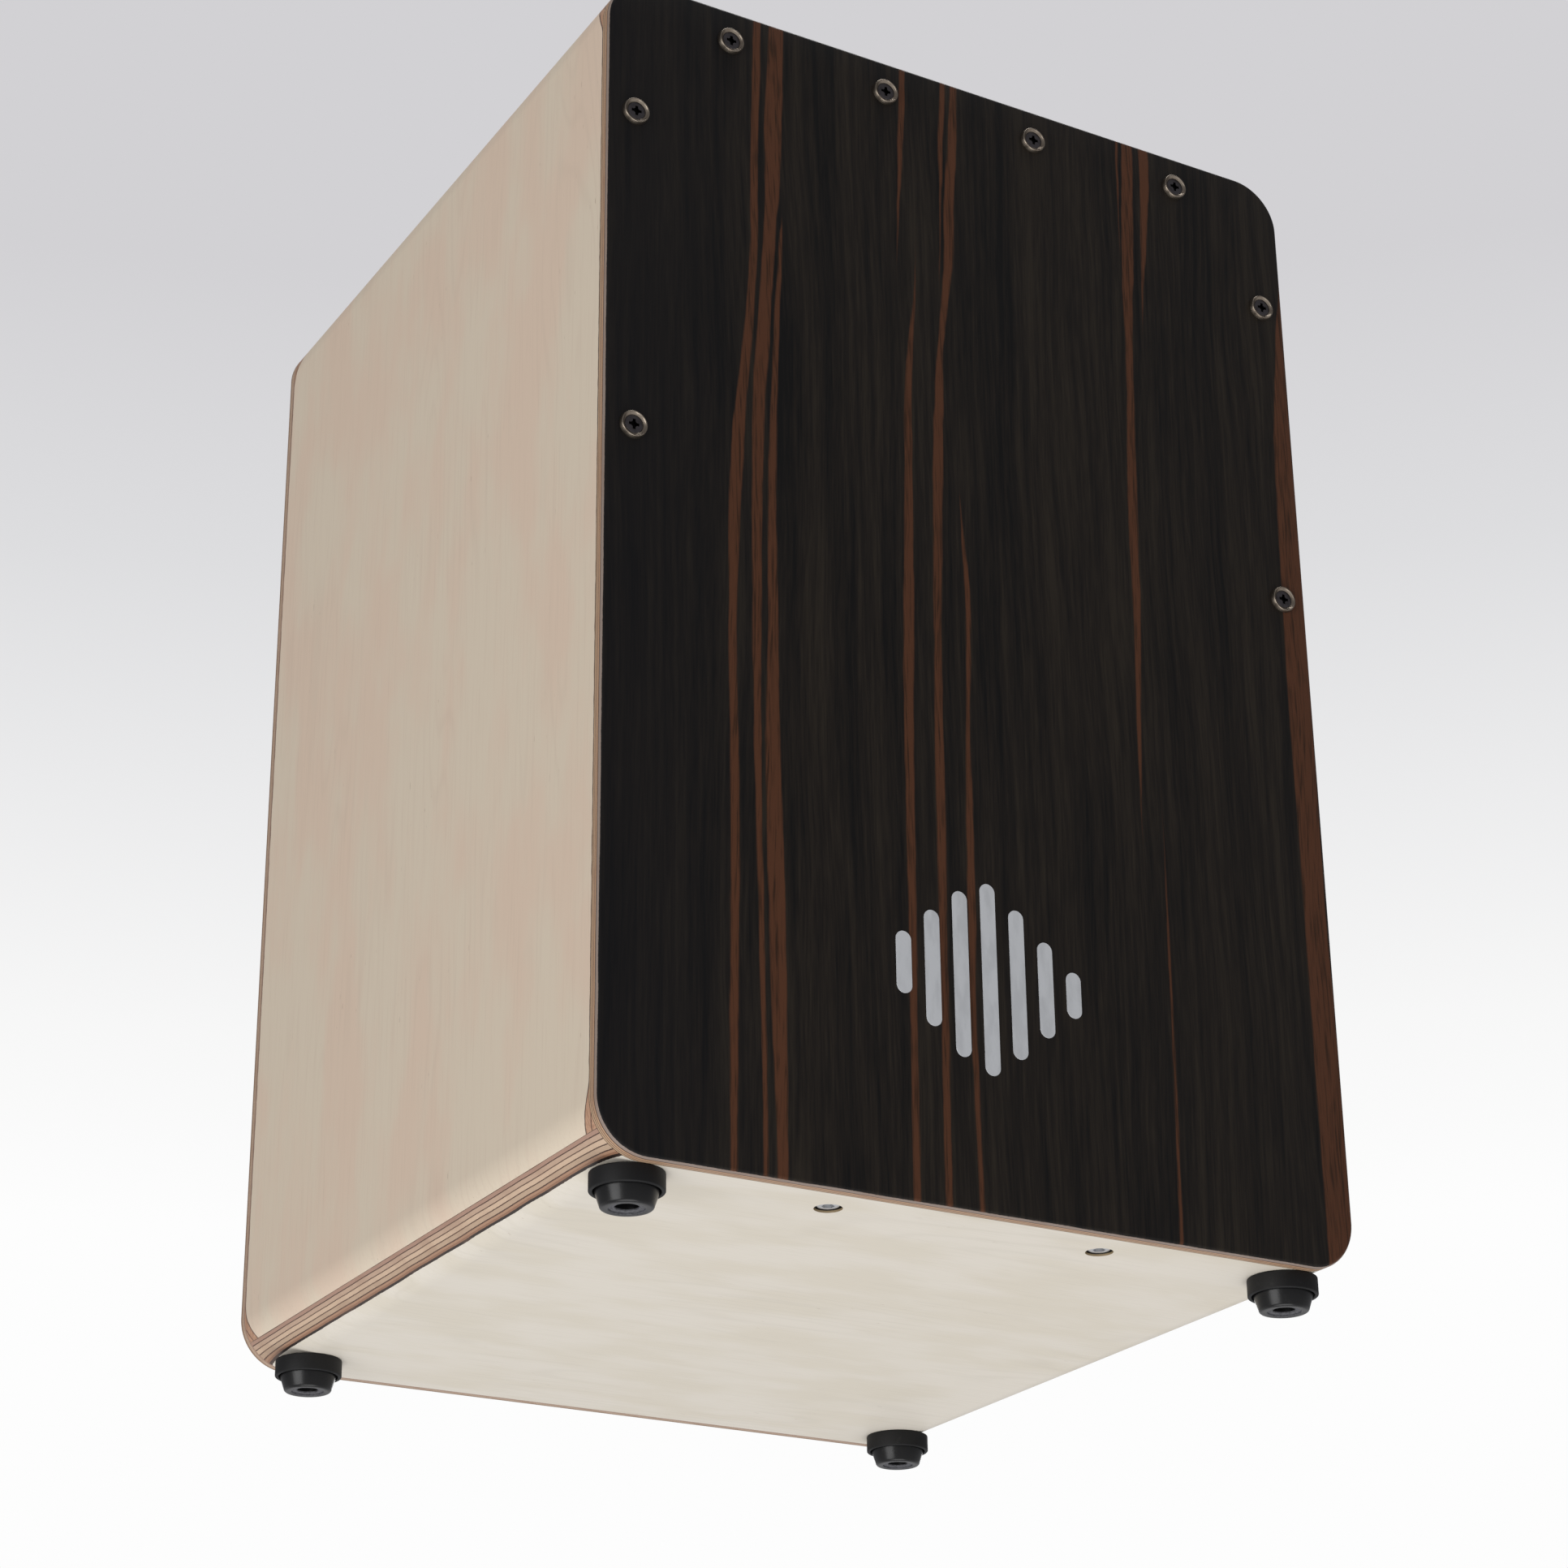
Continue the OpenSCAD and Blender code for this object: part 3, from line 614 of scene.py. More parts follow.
def dark_veneer(colours):
    """Finish of the front plate: near-black striped veneer over pale plies, with a painted bluish sheen toward its
    left.
    """
    material, place, surface = new_finish("dark veneer")
    x, y, z = place.axes()
    wander = place.streaks(11 * MM, (1, 1, 5), detail=3, seed=0.4) - 0.5
    ragged = place.streaks(1.2 * MM, (1, 1, 10), detail=2, seed=8.8) - 0.5
    across = x / MM + wander * 1.6 + ragged * 0.9
    high = (z - UNDER_Z) / (TOP_Z - UNDER_Z)
    sway = (place.streaks(60 * MM, (1, 1, 4), detail=2, seed=5.5) - 0.5) * (14 * MM)
    grain = place.node("CombineXYZ", None, {0: x + sway, 1: y, 2: z})
    wide = grain.streaks(9 * MM, (1, 1, 26), detail=2, seed=2.9)
    narrow = grain.streaks(2.3 * MM, (1, 1, 34), detail=3, seed=6.6)
    fine = grain.streaks(0.7 * MM, (1, 1, 22), detail=2, seed=1.1)
    tone = wide * 0.34 + narrow * 0.4 + fine * 0.26
    base = tone.ramp((
        (0.38, colours.plate_dark), (0.5, colours.plate),
        (0.62, colours.plate_light),
    ))
    # Painted reflection: the plate turns a cool bluish black toward its left.
    left = 1 - (x / OUTER_X).over(-0.98, -0.45)
    base = mix(base, colours.plate_painted_sheen, left * 0.6)
    stripes = None
    for points in STRIPES:
        one = stripe_mask(across, high, points)
        stripes = one if stripes is None else stripes.math("MAXIMUM", stripes, one)
    brown = mix(colours.stripe, colours.stripe_dark,
                (narrow * 0.4 + fine * 0.6).over(0.46, 0.66))
    face = mix(base, brown, stripes)
    tint = plies(place, face, y - FRONT_Y, THIN_PLIES, THIN)
    set_surface(surface, place, tint, 0.4 + fine * 0.12, fine + narrow, 0.025 * MM,
                Specular_IOR_Level=0.2)
    return material


def raw_wood(name, colours, along):
    """Finish of the raw softwood battens, with its growth lines along one axis."""
    material, place, surface = new_finish(name)
    stretch = tuple(24 if axis == along else 1 for axis in "xyz")
    lines = place.streaks(2.2 * MM, stretch, detail=3, seed=3.3)
    fine = place.streaks(0.5 * MM, stretch, detail=2, seed=5.9)
    tint = mix(colours.batten, linear(150, 108, 66), lines.over(0.45, 0.7) * 0.6)
    set_surface(surface, place, tint, 0.62 + fine * 0.2, fine, 0.08 * MM)
    return material


def print_finish(colours):
    """Finish of the printed mark: flat ink, a little uneven over the grain."""
    material, place, surface = new_finish("printed mark")
    cloud = place.streaks(4 * MM, (1, 1, 3), detail=3, seed=2.0)
    tint = mix(colours.mark, linear(188, 190, 193), cloud.over(0.4, 0.7))
    set_surface(surface, place, tint, 0.5 + cloud * 0.1, cloud, 0.01 * MM)
    return material


def metal(name, tint, roughness, dull, grain=0.25 * MM, stretch=(1, 1, 1), painted_slot_shade_from=None):
    """Finish of a plated or bare metal: fine tooling marks, dulled patches, and painted shade, near black, in
    screw slots.
    """
    material, place, surface = new_finish(name)
    marks = place.streaks(grain, stretch, detail=2, seed=1.3)
    patches = place.streaks(2.5 * MM, detail=3, seed=4.1)
    shown = mix(tint, dull, patches.over(0.45, 0.75) * 0.6)
    if painted_slot_shade_from is not None:
        # Painted shade: near black in the screws' cross slots, deeper than the head's face.
        shown = mix(shown, linear(14, 13, 13), place.axes()[1] > painted_slot_shade_from)
    set_surface(surface, place, shown, roughness + marks * 0.12 + patches * 0.08, marks,
                0.01 * MM, Metallic=1.0)
    return material


def cup_plastic(colours):
    """Finish of the feet's cups: moulded black plastic, fine grain and a trace of dust."""
    material, place, surface = new_finish("black plastic")
    spark = place.streaks(0.35 * MM, detail=2, seed=2.7)
    dust = place.streaks(3 * MM, detail=4, seed=6.3)
    shown = mix(colours.plastic, linear(54, 53, 52), dust.over(0.6, 0.85) * 0.3)
    set_surface(surface, place, shown, 0.5 + spark * 0.1 + dust * 0.08, spark, 0.03 * MM,
                Specular_IOR_Level=0.3)
    return material


def foot_rubber(colours, spots, dish):
    """Finish of the feet's rubber, with a matte dish that touches no floor, grey as a painted highlight."""
    material, place, surface = new_finish("black rubber")
    x, y, z = place.axes()
    near = [(abs(x) - abs(spot.x), y - spot.y) for spot in spots]
    away = [(across * across + along * along) for across, along in near]
    nearest = away[0].math("MINIMUM", *away)
    # Painted highlight: the matte dish under each foot is coloured grey and speckled.
    painted_dish_highlight = (nearest < dish * dish) * (z < 1.2 * MM)
    spark = place.streaks(0.8 * MM, detail=3, seed=2.7)
    dust = place.streaks(3 * MM, detail=4, seed=6.3)
    grey = mix(colours.rubber_painted_highlight, linear(60, 60, 63), spark.over(0.4, 0.65))
    shown = mix(colours.rubber, linear(52, 51, 50), dust.over(0.6, 0.85) * 0.3)
    shown = mix(shown, grey, painted_dish_highlight)
    set_surface(surface, place, shown, 0.24 + dust * 0.1 + painted_dish_highlight * 0.35, spark, 0.02 * MM,
                Specular_IOR_Level=0.35)
    return material


def wound_steel(colours):
    """Finish of a snare string: bright wire with a fine winding."""
    material, place, surface = new_finish("string steel")
    _, _, z = place.axes()
    turns = z / (0.35 * MM)
    winding = turns.math("PINGPONG", turns, 1.0)
    shade = place.streaks(6 * MM, detail=2, seed=1.9)
    tint = mix(colours.steel, linear(120, 118, 114), shade.over(0.4, 0.7) * 0.5)
    set_surface(surface, place, tint, 0.3 + shade * 0.1, winding, 0.08 * MM, Metallic=1.0)
    return material


# ---- the drum's pieces ----


def lies_deep(edge):
    """Whether an edge runs from the front towards the rear."""
    return abs(edge.verts[0].co.y - edge.verts[1].co.y) > 0.1 * MM


def outline_block(name, front, rear, radius):
    """A block with the drum's outline between two depths, its long edges rounded."""
    piece = block(name, (-OUTER_X, front, UNDER_Z), (OUTER_X, rear, TOP_Z))
    round_edges(piece, lies_deep, radius, 24)
    return piece


def rim_edges(y):
    """Picks the edges that lie at one depth."""
    return lambda edge: all(abs(vert.co.y - y) < 0.01 * MM for vert in edge.verts)


class CAJON_OT_side_panels(bpy.types.Operator):
    """Two plywood side panels between the top and the bottom panel"""

    bl_idname = "cajon.side_panels"
    bl_label = "Side panels"

    def execute(self, context):
        sizes, colours = context.scene.cajon_sizes, context.scene.cajon_colours
        finish = plywood("birch plywood sides", colours.side, colours.side_warm,
                         lambda x, y, z: kept(OUTER_X - abs(x)), detail=ply_wedge)
        for side, sign in SIDES.items():
            piece = outline_block("side_" + side, PLATE_Y, REAR_Y, sizes.corner_radius)
            trim(piece, (sign * INNER_X, 0, 0), (-sign, 0, 0))
            trim(piece, (0, 0, FLOOR_Z), (0, 0, -1))
            trim(piece, (0, 0, CEILING_Z), (0, 0, 1))
            done(piece, finish, "birch_plywood", "box", "side_panel_" + side)
        return {"FINISHED"}


class CAJON_OT_top_panel(bpy.types.Operator):
    """Plywood top panel, which is the seat"""

    bl_idname = "cajon.top_panel"
    bl_label = "Top panel"

    def execute(self, context):
        sizes, colours = context.scene.cajon_sizes, context.scene.cajon_colours
        piece = outline_block("top", PLATE_Y, REAR_Y, sizes.corner_radius)
        trim(piece, (0, 0, CEILING_Z), (0, 0, -1))
        finish = plywood("birch plywood top", colours.side, colours.side_warm,
                         lambda x, y, z: sanded(TOP_Z - z, y), along="x")
        done(piece, finish, "birch_plywood", "box", "top_panel")
        return {"FINISHED"}


class CAJON_OT_bottom_panel(bpy.types.Operator):
    """Cream plywood bottom panel with the two adjusters' recesses"""

    bl_idname = "cajon.bottom_panel"
    bl_label = "Bottom panel"

    def execute(self, context):
        sizes, colours = context.scene.cajon_sizes, context.scene.cajon_colours
        piece = outline_block("bottom", PLATE_Y, REAR_Y, sizes.corner_radius)
        trim(piece, (0, 0, FLOOR_Z), (0, 0, 1))
        for side in SIDES:
            x, y, _ = adjuster_axis(side)
            for radius, high in (
                (sizes.recess_radius, UNDER_Z + sizes.recess_depth),
                (sizes.thread_radius + GAP, FLOOR_Z + MM),
            ):
                cut(piece, rod("drill", (x, y, UNDER_Z - MM), (x, y, high), radius))
        # The finish paints shade deep in the adjusters' recesses.
        finish = plywood("birch plywood bottom", colours.bottom,
                         colours.bottom_warm, lambda x, y, z: sanded(z - UNDER_Z, y),
                         along="x", patch=22 * MM, detail=recess_painted_shade)
        done(piece, finish, "birch_plywood_bottom", "box", "bottom_panel")
        return {"FINISHED"}


class CAJON_OT_back_panel(bpy.types.Operator):
    """Back panel with its round sound hole"""

    bl_idname = "cajon.back_panel"
    bl_label = "Back panel"

    def execute(self, context):
        sizes, colours = context.scene.cajon_sizes, context.scene.cajon_colours
        radius, high = HOLE["dims"]["r_mm"] * MM, HOLE["pos_m"][2]
        piece = outline_block("back", REAR_Y, BACK_Y, sizes.corner_radius)
        round_edges(piece, rim_edges(BACK_Y), sizes.back_ease, 5)
        cut(piece, rod("drill", (0, REAR_Y - MM, high), (0, BACK_Y + MM, high), radius, 128))
        centre = Vector((0, BACK_Y, high))
        round_edges(
            piece,
            lambda edge: all(
                abs(vert.co.y - BACK_Y) < 0.01 * MM and (vert.co - centre).length < radius + MM
                for vert in edge.verts
            ),
            sizes.hole_ease, 4,
        )
        finish = plywood("birch plywood back", colours.side, colours.side_warm,
                         lambda x, y, z: (BACK_Y - y) * (PANEL / THIN))
        done(piece, finish, "birch_plywood", "box", "back_panel")
        return {"FINISHED"}


def plate_screw_spots(sizes):
    """Where the eight plate screws stand, from the box of their washers."""
    low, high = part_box("front_plate_cup_washers")
    radius = washer_radius()
    side, top, bottom = high.x - radius, high.z - radius, low.z + radius
    row = [(k * sizes.screw_pitch / 2, top) for k in (-3, -1, 1, 3)]
    flanks = [(s * side, z) for s in (-1, 1) for z in (top - sizes.side_screw_drop, bottom)]
    return [Vector((x, FRONT_Y, z)) for x, z in row + flanks]


def washer_radius():
    """Outer radius of a cup washer: how far its row reaches above the screw head's row."""
    heads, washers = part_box("front_plate_screws"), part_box("front_plate_cup_washers")
    head_radius = bpy.context.scene.cajon_sizes.head_radius
    return washers[1].z - heads[1].z + head_radius


class CAJON_OT_front_plate(bpy.types.Operator):
    """Thin front plate in dark striped veneer, drilled for its eight screws"""

    bl_idname = "cajon.front_plate"
    bl_label = "Front plate"

    def execute(self, context):
        sizes, colours = context.scene.cajon_sizes, context.scene.cajon_colours
        piece = outline_block("plate", FRONT_Y, PLATE_Y, sizes.corner_radius)
        round_edges(piece, rim_edges(FRONT_Y), sizes.plate_ease, 5)
        drills = [
            rod("drill", spot - Vector((0, MM, 0)), spot + Vector((0, 6 * MM, 0)),
                sizes.shank_radius + GAP, 24)
            for spot in plate_screw_spots(sizes)
        ]
        cut(piece, joined("drills", drills))
        done(piece, dark_veneer(colours), "dark_veneer", "box", "front_plate")
        return {"FINISHED"}


class CAJON_OT_mark(bpy.types.Operator):
    """Plain printed mark: seven upright bars with round ends"""

    bl_idname = "cajon.mark"
    bl_label = "Printed mark"

    def execute(self, context):
        low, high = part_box("front_mark")
        heights = (0.32, 0.6, 0.86, 1.0, 0.78, 0.5, 0.24)
        wide = context.scene.cajon_sizes.mark_bar
        pitch = (high.x - low.x - wide) / (len(heights) - 1)
        middle = (low.z + high.z) / 2
        bars = []
        for i, share in enumerate(heights):
            x = low.x + i * pitch
            half = (high.z - low.z) * share / 2
            bar = block("bar", (x, low.y, middle - half), (x + wide, high.y, middle + half))
            round_edges(bar, lies_deep, wide / 2 - 0.01 * MM, 10)
            bars.append(bar)
        piece = joined("mark", bars)
        done(piece, print_finish(context.scene.cajon_colours), "printed_mark", "box",
             "front_mark")
        return {"FINISHED"}


class CAJON_OT_plate_fixings(bpy.types.Operator):
    """Eight cross-head screws in dark cup washers"""

    bl_idname = "cajon.plate_fixings"
    bl_label = "Plate screws and cup washers"

    def execute(self, context):
        sizes, colours = context.scene.cajon_sizes, context.scene.cajon_colours
        bronze = metal("bronzed nickel", colours.bronze, 0.22, linear(118, 104, 92))
        # The plate screws' cross slots get painted shade.
        nickel = metal("black nickel", colours.nickel, 0.3, linear(62, 58, 58),
                       painted_slot_shade_from=FRONT_Y - sizes.head_height + 0.35 * MM)
        spots = plate_screw_spots(sizes)
        tip = FRONT_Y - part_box("front_plate_screws")[1].y
        head, shank, high = sizes.head_radius, sizes.shank_radius, sizes.washer_height
        seat, deep, ease = sizes.head_height, sizes.cross_depth, 0.25 * MM

        outer = washer_radius()
        rim, foot = sizes.washer_rim, 0.25 * MM
        washer = turned("washer", (0, 0, 0), [
            (shank + GAP, 0), (outer, 0), (outer, foot),
            *arc(outer - foot - rim, high - rim, rim, rim, 20, 160, 8),
            (head + 0.12 * MM, seat), (head + 0.12 * MM, seat - 0.3 * MM),
        ], hollow=True)
        face_front(washer)
        washers = [copied(washer, spot) for spot in spots]
        bpy.data.objects.remove(washer)
        done(joined("cup_washers", washers), bronze, "black_nickel", "box",
             "front_plate_cup_washers", angle=40)

        screw = turned("screw", (0, 0, 0), [
            (0.1 * MM, tip), (shank, tip + sizes.shank_point), (shank, 0),
            (head - 0.1 * MM, seat - 0.45 * MM),
            *arc(head - ease, seat - ease, ease, ease, 0, 80, 4),
        ])
        arm, half = sizes.cross_length / 2, sizes.cross_width / 2
        # Two long slots make the cross, and two short ones widen its middle.
        for turn, wide in ((0, arm), (90, arm), (45, half * 2.1), (135, half * 2.1)):
            slot = block("slot", (-wide, -half, seat - deep), (wide, half, seat + MM))
            slot.data.transform(Matrix.Rotation(math.radians(turn), 4, "Z"))
            cut(screw, slot)
        face_front(screw)
        screws = [copied(screw, spot) for spot in spots]
        bpy.data.objects.remove(screw)
        done(joined("plate_screws", screws), nickel, "black_nickel", "box",
             "front_plate_screws", angle=30)
        return {"FINISHED"}


class CAJON_OT_feet(bpy.types.Operator):
    """Four feet: a plastic cup, and in it a rubber that tapers to the floor"""

    bl_idname = "cajon.feet"
    bl_label = "Feet"

    def execute(self, context):
        sizes, colours = context.scene.cajon_sizes, context.scene.cajon_colours
        low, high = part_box("foot_cup_front_left")
        start = Vector(((low.x + high.x) / 2, (low.y + high.y) / 2, 0))
        outer, mouth, top = (high.x - low.x) / 2, low.z, high.z
        inner, ceiling = outer - sizes.cup_wall, top - sizes.cup_base
        screw = sizes.foot_screw
        ease, lip = 0.5 * MM, 0.3 * MM
        cup = turned("cup", start, [
            (screw, ceiling), (screw, top), (outer - ease, top),
            *arc(outer - ease, top - ease, ease, ease, 90, 0, 4),
            *arc(outer - ease, mouth + ease, ease, ease, 0, -90, 5),
            *arc(inner + lip, mouth + lip, lip, lip, 270, 180, 4),
            (inner, ceiling),
        ], hollow=True, sides=96)
        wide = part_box("foot_rubber_front_left")[1].x - start.x
        tip, hole, dish = sizes.rubber_tip, sizes.rubber_hole, sizes.rubber_dish
        ledge, round_off = sizes.rubber_ledge, 1.2 * MM
        rubber = turned("rubber", start, [
            (screw, ledge), (screw, ceiling), (wide, ceiling), (wide, mouth),
            *arc(tip - round_off, round_off, round_off, round_off, -8, -90, 6),
            *arc(dish + lip, lip, lip, lip, -90, -180, 3),
            (dish, 2 * lip), *arc(hole + lip, 3 * lip, lip, lip, -90, -180, 3),
            (hole, ledge),
        ], hollow=True, sides=96)
        plastic = cup_plastic(colours)
        spots = [sum(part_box(f"foot_rubber_{end}_left"), Vector()) / 2 for end in ENDS]
        soft = foot_rubber(colours, spots, dish + 0.2 * MM)
        for end in ENDS:
            for side in SIDES:
                place = f"{end}_{side}"
                corner_low, corner_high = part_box("foot_cup_" + place)
                offset = (corner_low + corner_high) / 2 - start
                offset.z = 0
                done(copied(cup, offset), plastic, "black_plastic", "box",
                     "foot_cup_" + place).name = "cup_" + place
                done(copied(rubber, offset), soft, "black_rubber", "box",
                     "foot_rubber_" + place).name = "rubber_" + place
        bpy.data.objects.remove(cup)
        bpy.data.objects.remove(rubber)
        return {"FINISHED"}


def adjuster_axis(side):
    """Where an adjuster's axis meets the floor."""
    joint = next(j for j in frame["joints"] if j["name"] == f"adjuster_{side}_turn")
    x, y, _ = joint["pos_m"]
    return Vector((x, y, 0))


class CAJON_OT_adjusters(bpy.types.Operator):
    """Two threaded adjusters with hexagon sockets in the underside"""

    bl_idname = "cajon.adjusters"
    bl_label = "String adjusters"

    def execute(self, context):
        sizes, colours = context.scene.cajon_sizes, context.scene.cajon_colours
        finish = metal("bright zinc", colours.zinc, 0.3, linear(196, 198, 201))
        for side in SIDES:
            low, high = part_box("adjuster_screw_" + side)
            radius, shank, pitch = (high.x - low.x) / 2, sizes.thread_radius, sizes.thread_pitch
            under, shoulder = low.z, low.z + sizes.adjuster_head
            root, ease = shank - 0.35 * MM, 0.5 * MM
            smooth_to = FLOOR_Z + sizes.thread_start
            rings = [
                (radius - 0.9 * MM, under),
                *arc(radius - ease, under + ease, ease, ease, -70, 0, 4),
                (radius, shoulder), (shank, shoulder), (shank, smooth_to),
            ]
            turns = int((high.z - MM - smooth_to) / pitch)
            for i in range(turns):
                rings.append((root, smooth_to + (i + 0.5) * pitch))
                rings.append((shank, smooth_to + (i + 1) * pitch))
            rings.append((root - 0.4 * MM, high.z))
            axis = adjuster_axis(side)
            piece = turned("adjuster_" + side, axis, rings, sides=32)
            cut(piece, rod("socket", axis + Vector((0, 0, under - MM)),
                           axis + Vector((0, 0, under + sizes.socket_depth)),
                           sizes.socket_radius, 6))
            done(piece, finish, "bright_zinc", "adjuster_" + side, "adjuster_screw_" + side,
                 angle=40)
        coat(finish, "adjuster_collar_left", "adjuster_collar_right", "guide_screws",
             "anchor_screws")
        # Painted shade: the foot screws and washers are zinc darkened so that the feet's holes read black.
        dark = metal("foot screw zinc", linear(80, 80, 82), 0.4, linear(50, 50, 52))
        coat(dark, "foot_screws", "foot_washers")
        return {"FINISHED"}


class CAJON_OT_snare_strings(bpy.types.Operator):
    """Two wound strings on each side, from the carriage up to the anchor"""

    bl_idname = "cajon.snare_strings"
    bl_label = "Snare strings"

    def execute(self, context):
        sizes = context.scene.cajon_sizes
        finish = wound_steel(context.scene.cajon_colours)
        for side in SIDES:
            low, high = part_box("snare_strings_" + side)
            middle = Vector(((low.x + high.x) / 2, (low.y + high.y) / 2, 0))
            thin, ball, ball_high = sizes.string_radius, (high.y - low.y) / 2, sizes.ball_height
            start, end = low.z + ball_high, high.z - ball_high
            bends, dome = 24, 0.8 * MM
            rings = [
                *arc(0, low.z + dome, ball, dome, -80, 0, 4), (ball, start - dome),
                *[(thin, start + (end - start) * i / bends) for i in range(bends + 1)],
                (ball, end + dome), *arc(0, high.z - dome, ball, dome, 0, 80, 4),
            ]
            strands = [
                turned("strand", middle + Vector((s * sizes.string_pitch / 2, 0, 0)), rings,
                       sides=16)
                for s in (-1, 1)
            ]
            piece = done(joined("strings_" + side, strands), finish, "string_steel", None,
                         "snare_strings_" + side)
            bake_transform(piece)
        return {"FINISHED"}


class CAJON_OT_inner_parts(bpy.types.Operator):
    """Finishes of the battens, carriages, guide brackets and string anchors"""

    bl_idname = "cajon.inner_parts"
    bl_label = "Inner parts"

    def execute(self, context):
        colours = context.scene.cajon_colours
        across = raw_wood("softwood across", colours, "x")
        upright = raw_wood("softwood upright", colours, "z")
        for end in ENDS:
            coat(across, f"{end}_batten_top", f"{end}_batten_bottom")
            coat(upright, f"{end}_batten_left", f"{end}_batten_right")
        brass = metal("machined brass", colours.brass, 0.25, linear(150, 120, 66),
                      0.3 * MM, (20, 1, 1))
        steel = metal("strip steel", colours.steel, 0.34, linear(120, 120, 122),
                      0.4 * MM, (16, 1, 1))
        for side in SIDES:
            coat(brass, "tension_carriage_" + side)
            coat(steel, "carriage_guide_" + side, "string_anchor_" + side)
        return {"FINISHED"}


# ---- floor, light and camera ----

# Each light's name, place, size and power, in metres and watts.
LIGHTS = (
    ("under fill", (-0.3, -0.7, -2.5), 2.2, 40),
    ("left key", (-2.6, -0.9, -0.3), 1.8, 36),
    ("top light", (0.3, 0.3, 2.7), 1.6, 40),
    ("back light", (1.6, 2.2, 1.2), 1.6, 20),
)
# The camera's lens in mm, its place in metres, and its turn in degrees.
LENS, CAMERA_SPOT = 81.8, (-0.6297, -1.1025, -0.338)
AZIMUTH, ELEVATION, ROLL = -29.94, -24.0, -0.62
# Square of the distance from the drum over which the floor fades out.
FADE = (0.3 ** 2, 1.4 ** 2)


def soft_light(name, spot, size, power):
    """A large square lamp that points at the drum's middle."""
    lamp = bpy.data.lights.new(name, "AREA")
    lamp.shape, lamp.size, lamp.energy = "SQUARE", size, power
    holder = bpy.data.objects.new(name, lamp)
    holder.location = spot
    aim = Vector((0, 0, 0.24)) - Vector(spot)
    holder.rotation_euler = aim.to_track_quat("-Z", "Y").to_euler()
    bpy.context.collection.objects.link(holder)


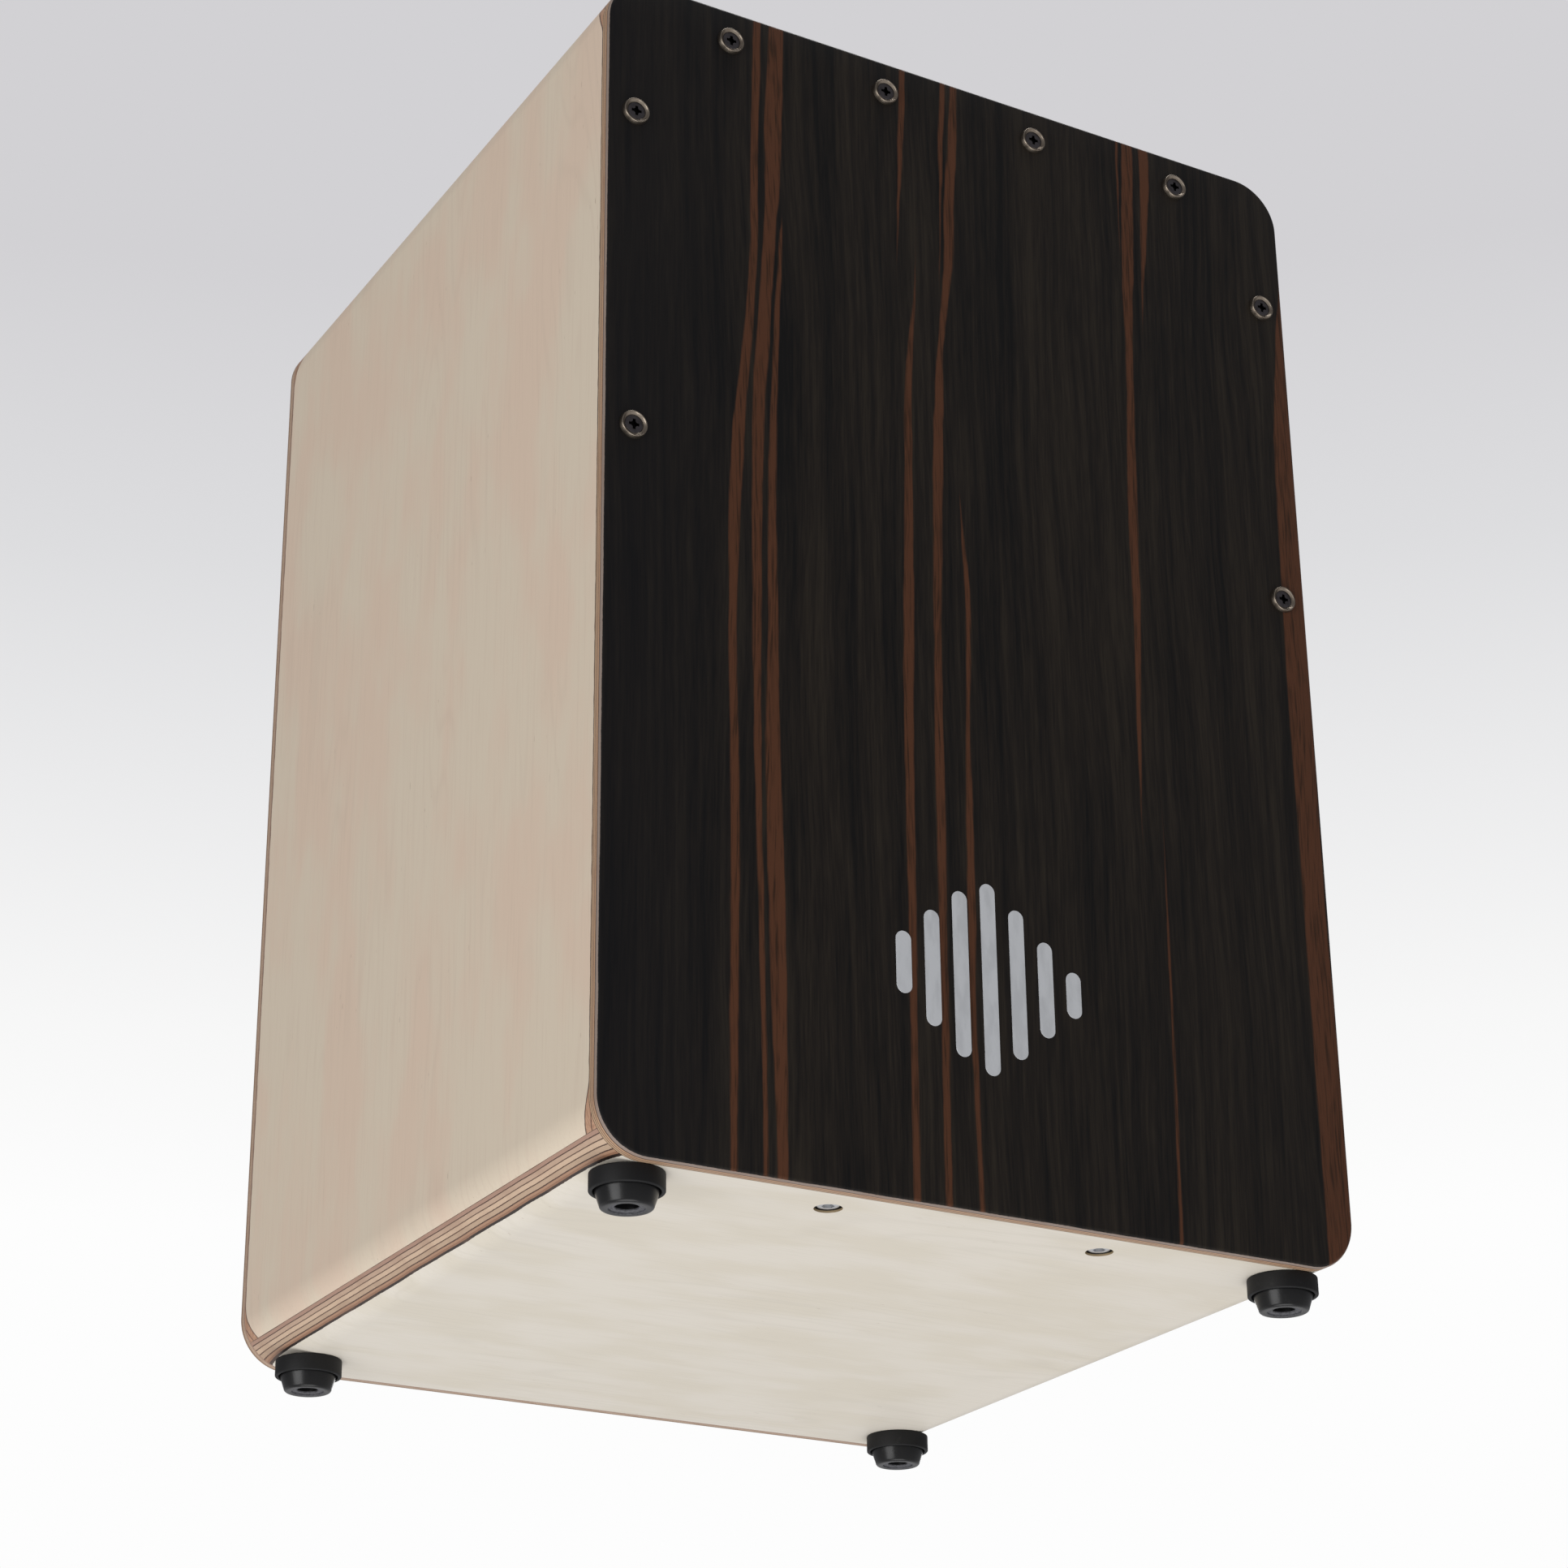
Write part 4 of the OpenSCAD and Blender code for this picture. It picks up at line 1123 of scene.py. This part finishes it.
class CAJON_OT_stage(bpy.types.Operator):
    """Plain pale floor, soft studio light and the camera"""

    bl_idname = "cajon.stage"
    bl_label = "Stage"

    def execute(self, context):
        scene = context.scene
        deselect()
        bpy.ops.mesh.primitive_plane_add(size=30)
        floor = settle("floor")
        material, place, surface = new_finish("plain floor")
        cloud = place.streaks(0.4, detail=2, seed=0.7)
        tint = mix(scene.cajon_colours.floor, linear(226, 226, 227), cloud)
        set_surface(surface, place, tint, 0.8 + cloud * 0.1,
                    Emission_Color=(0.8, 0.8, 0.81, 1), Emission_Strength=0.4)
        # Seen from below the floor is clear, so the drum's underside shows. It fades out
        # with distance too, into the backdrop.
        clear = place.node("BsdfTransparent")
        facing = place.node("NewGeometry", out=6)
        x, y, _ = place.axes()
        far = (x * x + y * y).over(*FADE)
        hidden = facing + far - facing * far
        output = material.node_tree.nodes["Material Output"]
        ground = Shade(material.node_tree, surface.outputs[0])
        seen = place.node("MixShader", None, {0: hidden, 1: ground, 2: clear})
        material.node_tree.links.new(seen.socket, output.inputs["Surface"])
        floor.data.materials.append(material)
        floor.visible_shadow = floor.visible_diffuse = floor.visible_glossy = False

        world = scene.world or bpy.data.worlds.new("studio")
        scene.world = world
        world.use_nodes = True
        tree = world.node_tree
        spot = tree.nodes.new("ShaderNodeTexCoord")
        direction = Shade(tree, spot.outputs["Generated"])
        _, _, up = direction.axes()
        backdrop = up.ramp(
            ((0.29, linear(253, 253, 253)), (0.34, linear(247, 247, 247)),
             (0.40, linear(235, 235, 236)), (0.46, linear(221, 221, 223)),
             (0.53, linear(210, 209, 212))))
        # The room gives the drum less light than the backdrop shows, most of it from below.
        shown = direction.node("LightPath")
        room = (up * 0.5 + 0.5).ramp(((0.4, (0.62, 0.62, 0.63)), (0.54, (0.26, 0.26, 0.27))))
        around = mix(room, backdrop, shown)
        back = tree.nodes["Background"]
        tree.links.new(around.socket, back.inputs["Color"])
        back.inputs["Strength"].default_value = 1.0
        scene.view_settings.view_transform = "Standard"

        for light in LIGHTS:
            soft_light(*light)

        eye = bpy.data.cameras.new("camera")
        eye.lens, eye.sensor_width = LENS, 36
        camera = bpy.data.objects.new("camera", eye)
        azimuth, elevation, roll = (math.radians(a) for a in (AZIMUTH, ELEVATION, ROLL))
        camera.matrix_world = (
            Matrix.Translation(CAMERA_SPOT) @ Matrix.Rotation(azimuth, 4, "Z")
            @ Matrix.Rotation(math.pi / 2 - elevation, 4, "X") @ Matrix.Rotation(roll, 4, "Z")
        )
        context.collection.objects.link(camera)
        scene.camera = camera
        return {"FINISHED"}


OPERATORS = (
    CAJON_OT_side_panels,
    CAJON_OT_top_panel,
    CAJON_OT_bottom_panel,
    CAJON_OT_back_panel,
    CAJON_OT_front_plate,
    CAJON_OT_mark,
    CAJON_OT_plate_fixings,
    CAJON_OT_feet,
    CAJON_OT_adjusters,
    CAJON_OT_snare_strings,
    CAJON_OT_inner_parts,
    CAJON_OT_stage,
)


class CAJON_PT_panel(bpy.types.Panel):
    bl_label = "Cajon"
    bl_idname = "CAJON_PT_panel"
    bl_space_type = "VIEW_3D"
    bl_region_type = "UI"
    bl_category = "Cajon"

    def draw(self, context):
        for operator in OPERATORS:
            self.layout.operator(operator.bl_idname)


CLASSES = (CajonSizes, CajonColours, *OPERATORS, CAJON_PT_panel)


def register():
    for each in CLASSES:
        bpy.utils.register_class(each)
    bpy.types.Scene.cajon_sizes = PointerProperty(type=CajonSizes)
    bpy.types.Scene.cajon_colours = PointerProperty(type=CajonColours)


def unregister():
    del bpy.types.Scene.cajon_sizes
    del bpy.types.Scene.cajon_colours
    for each in reversed(CLASSES):
        bpy.utils.unregister_class(each)


def main():
    register()
    for operator in OPERATORS:
        group, name = operator.bl_idname.split(".")
        if getattr(getattr(bpy.ops, group), name)() != {"FINISHED"}:
            raise RuntimeError(operator.bl_label + " was not finished")


if __name__ == "__main__":
    main()
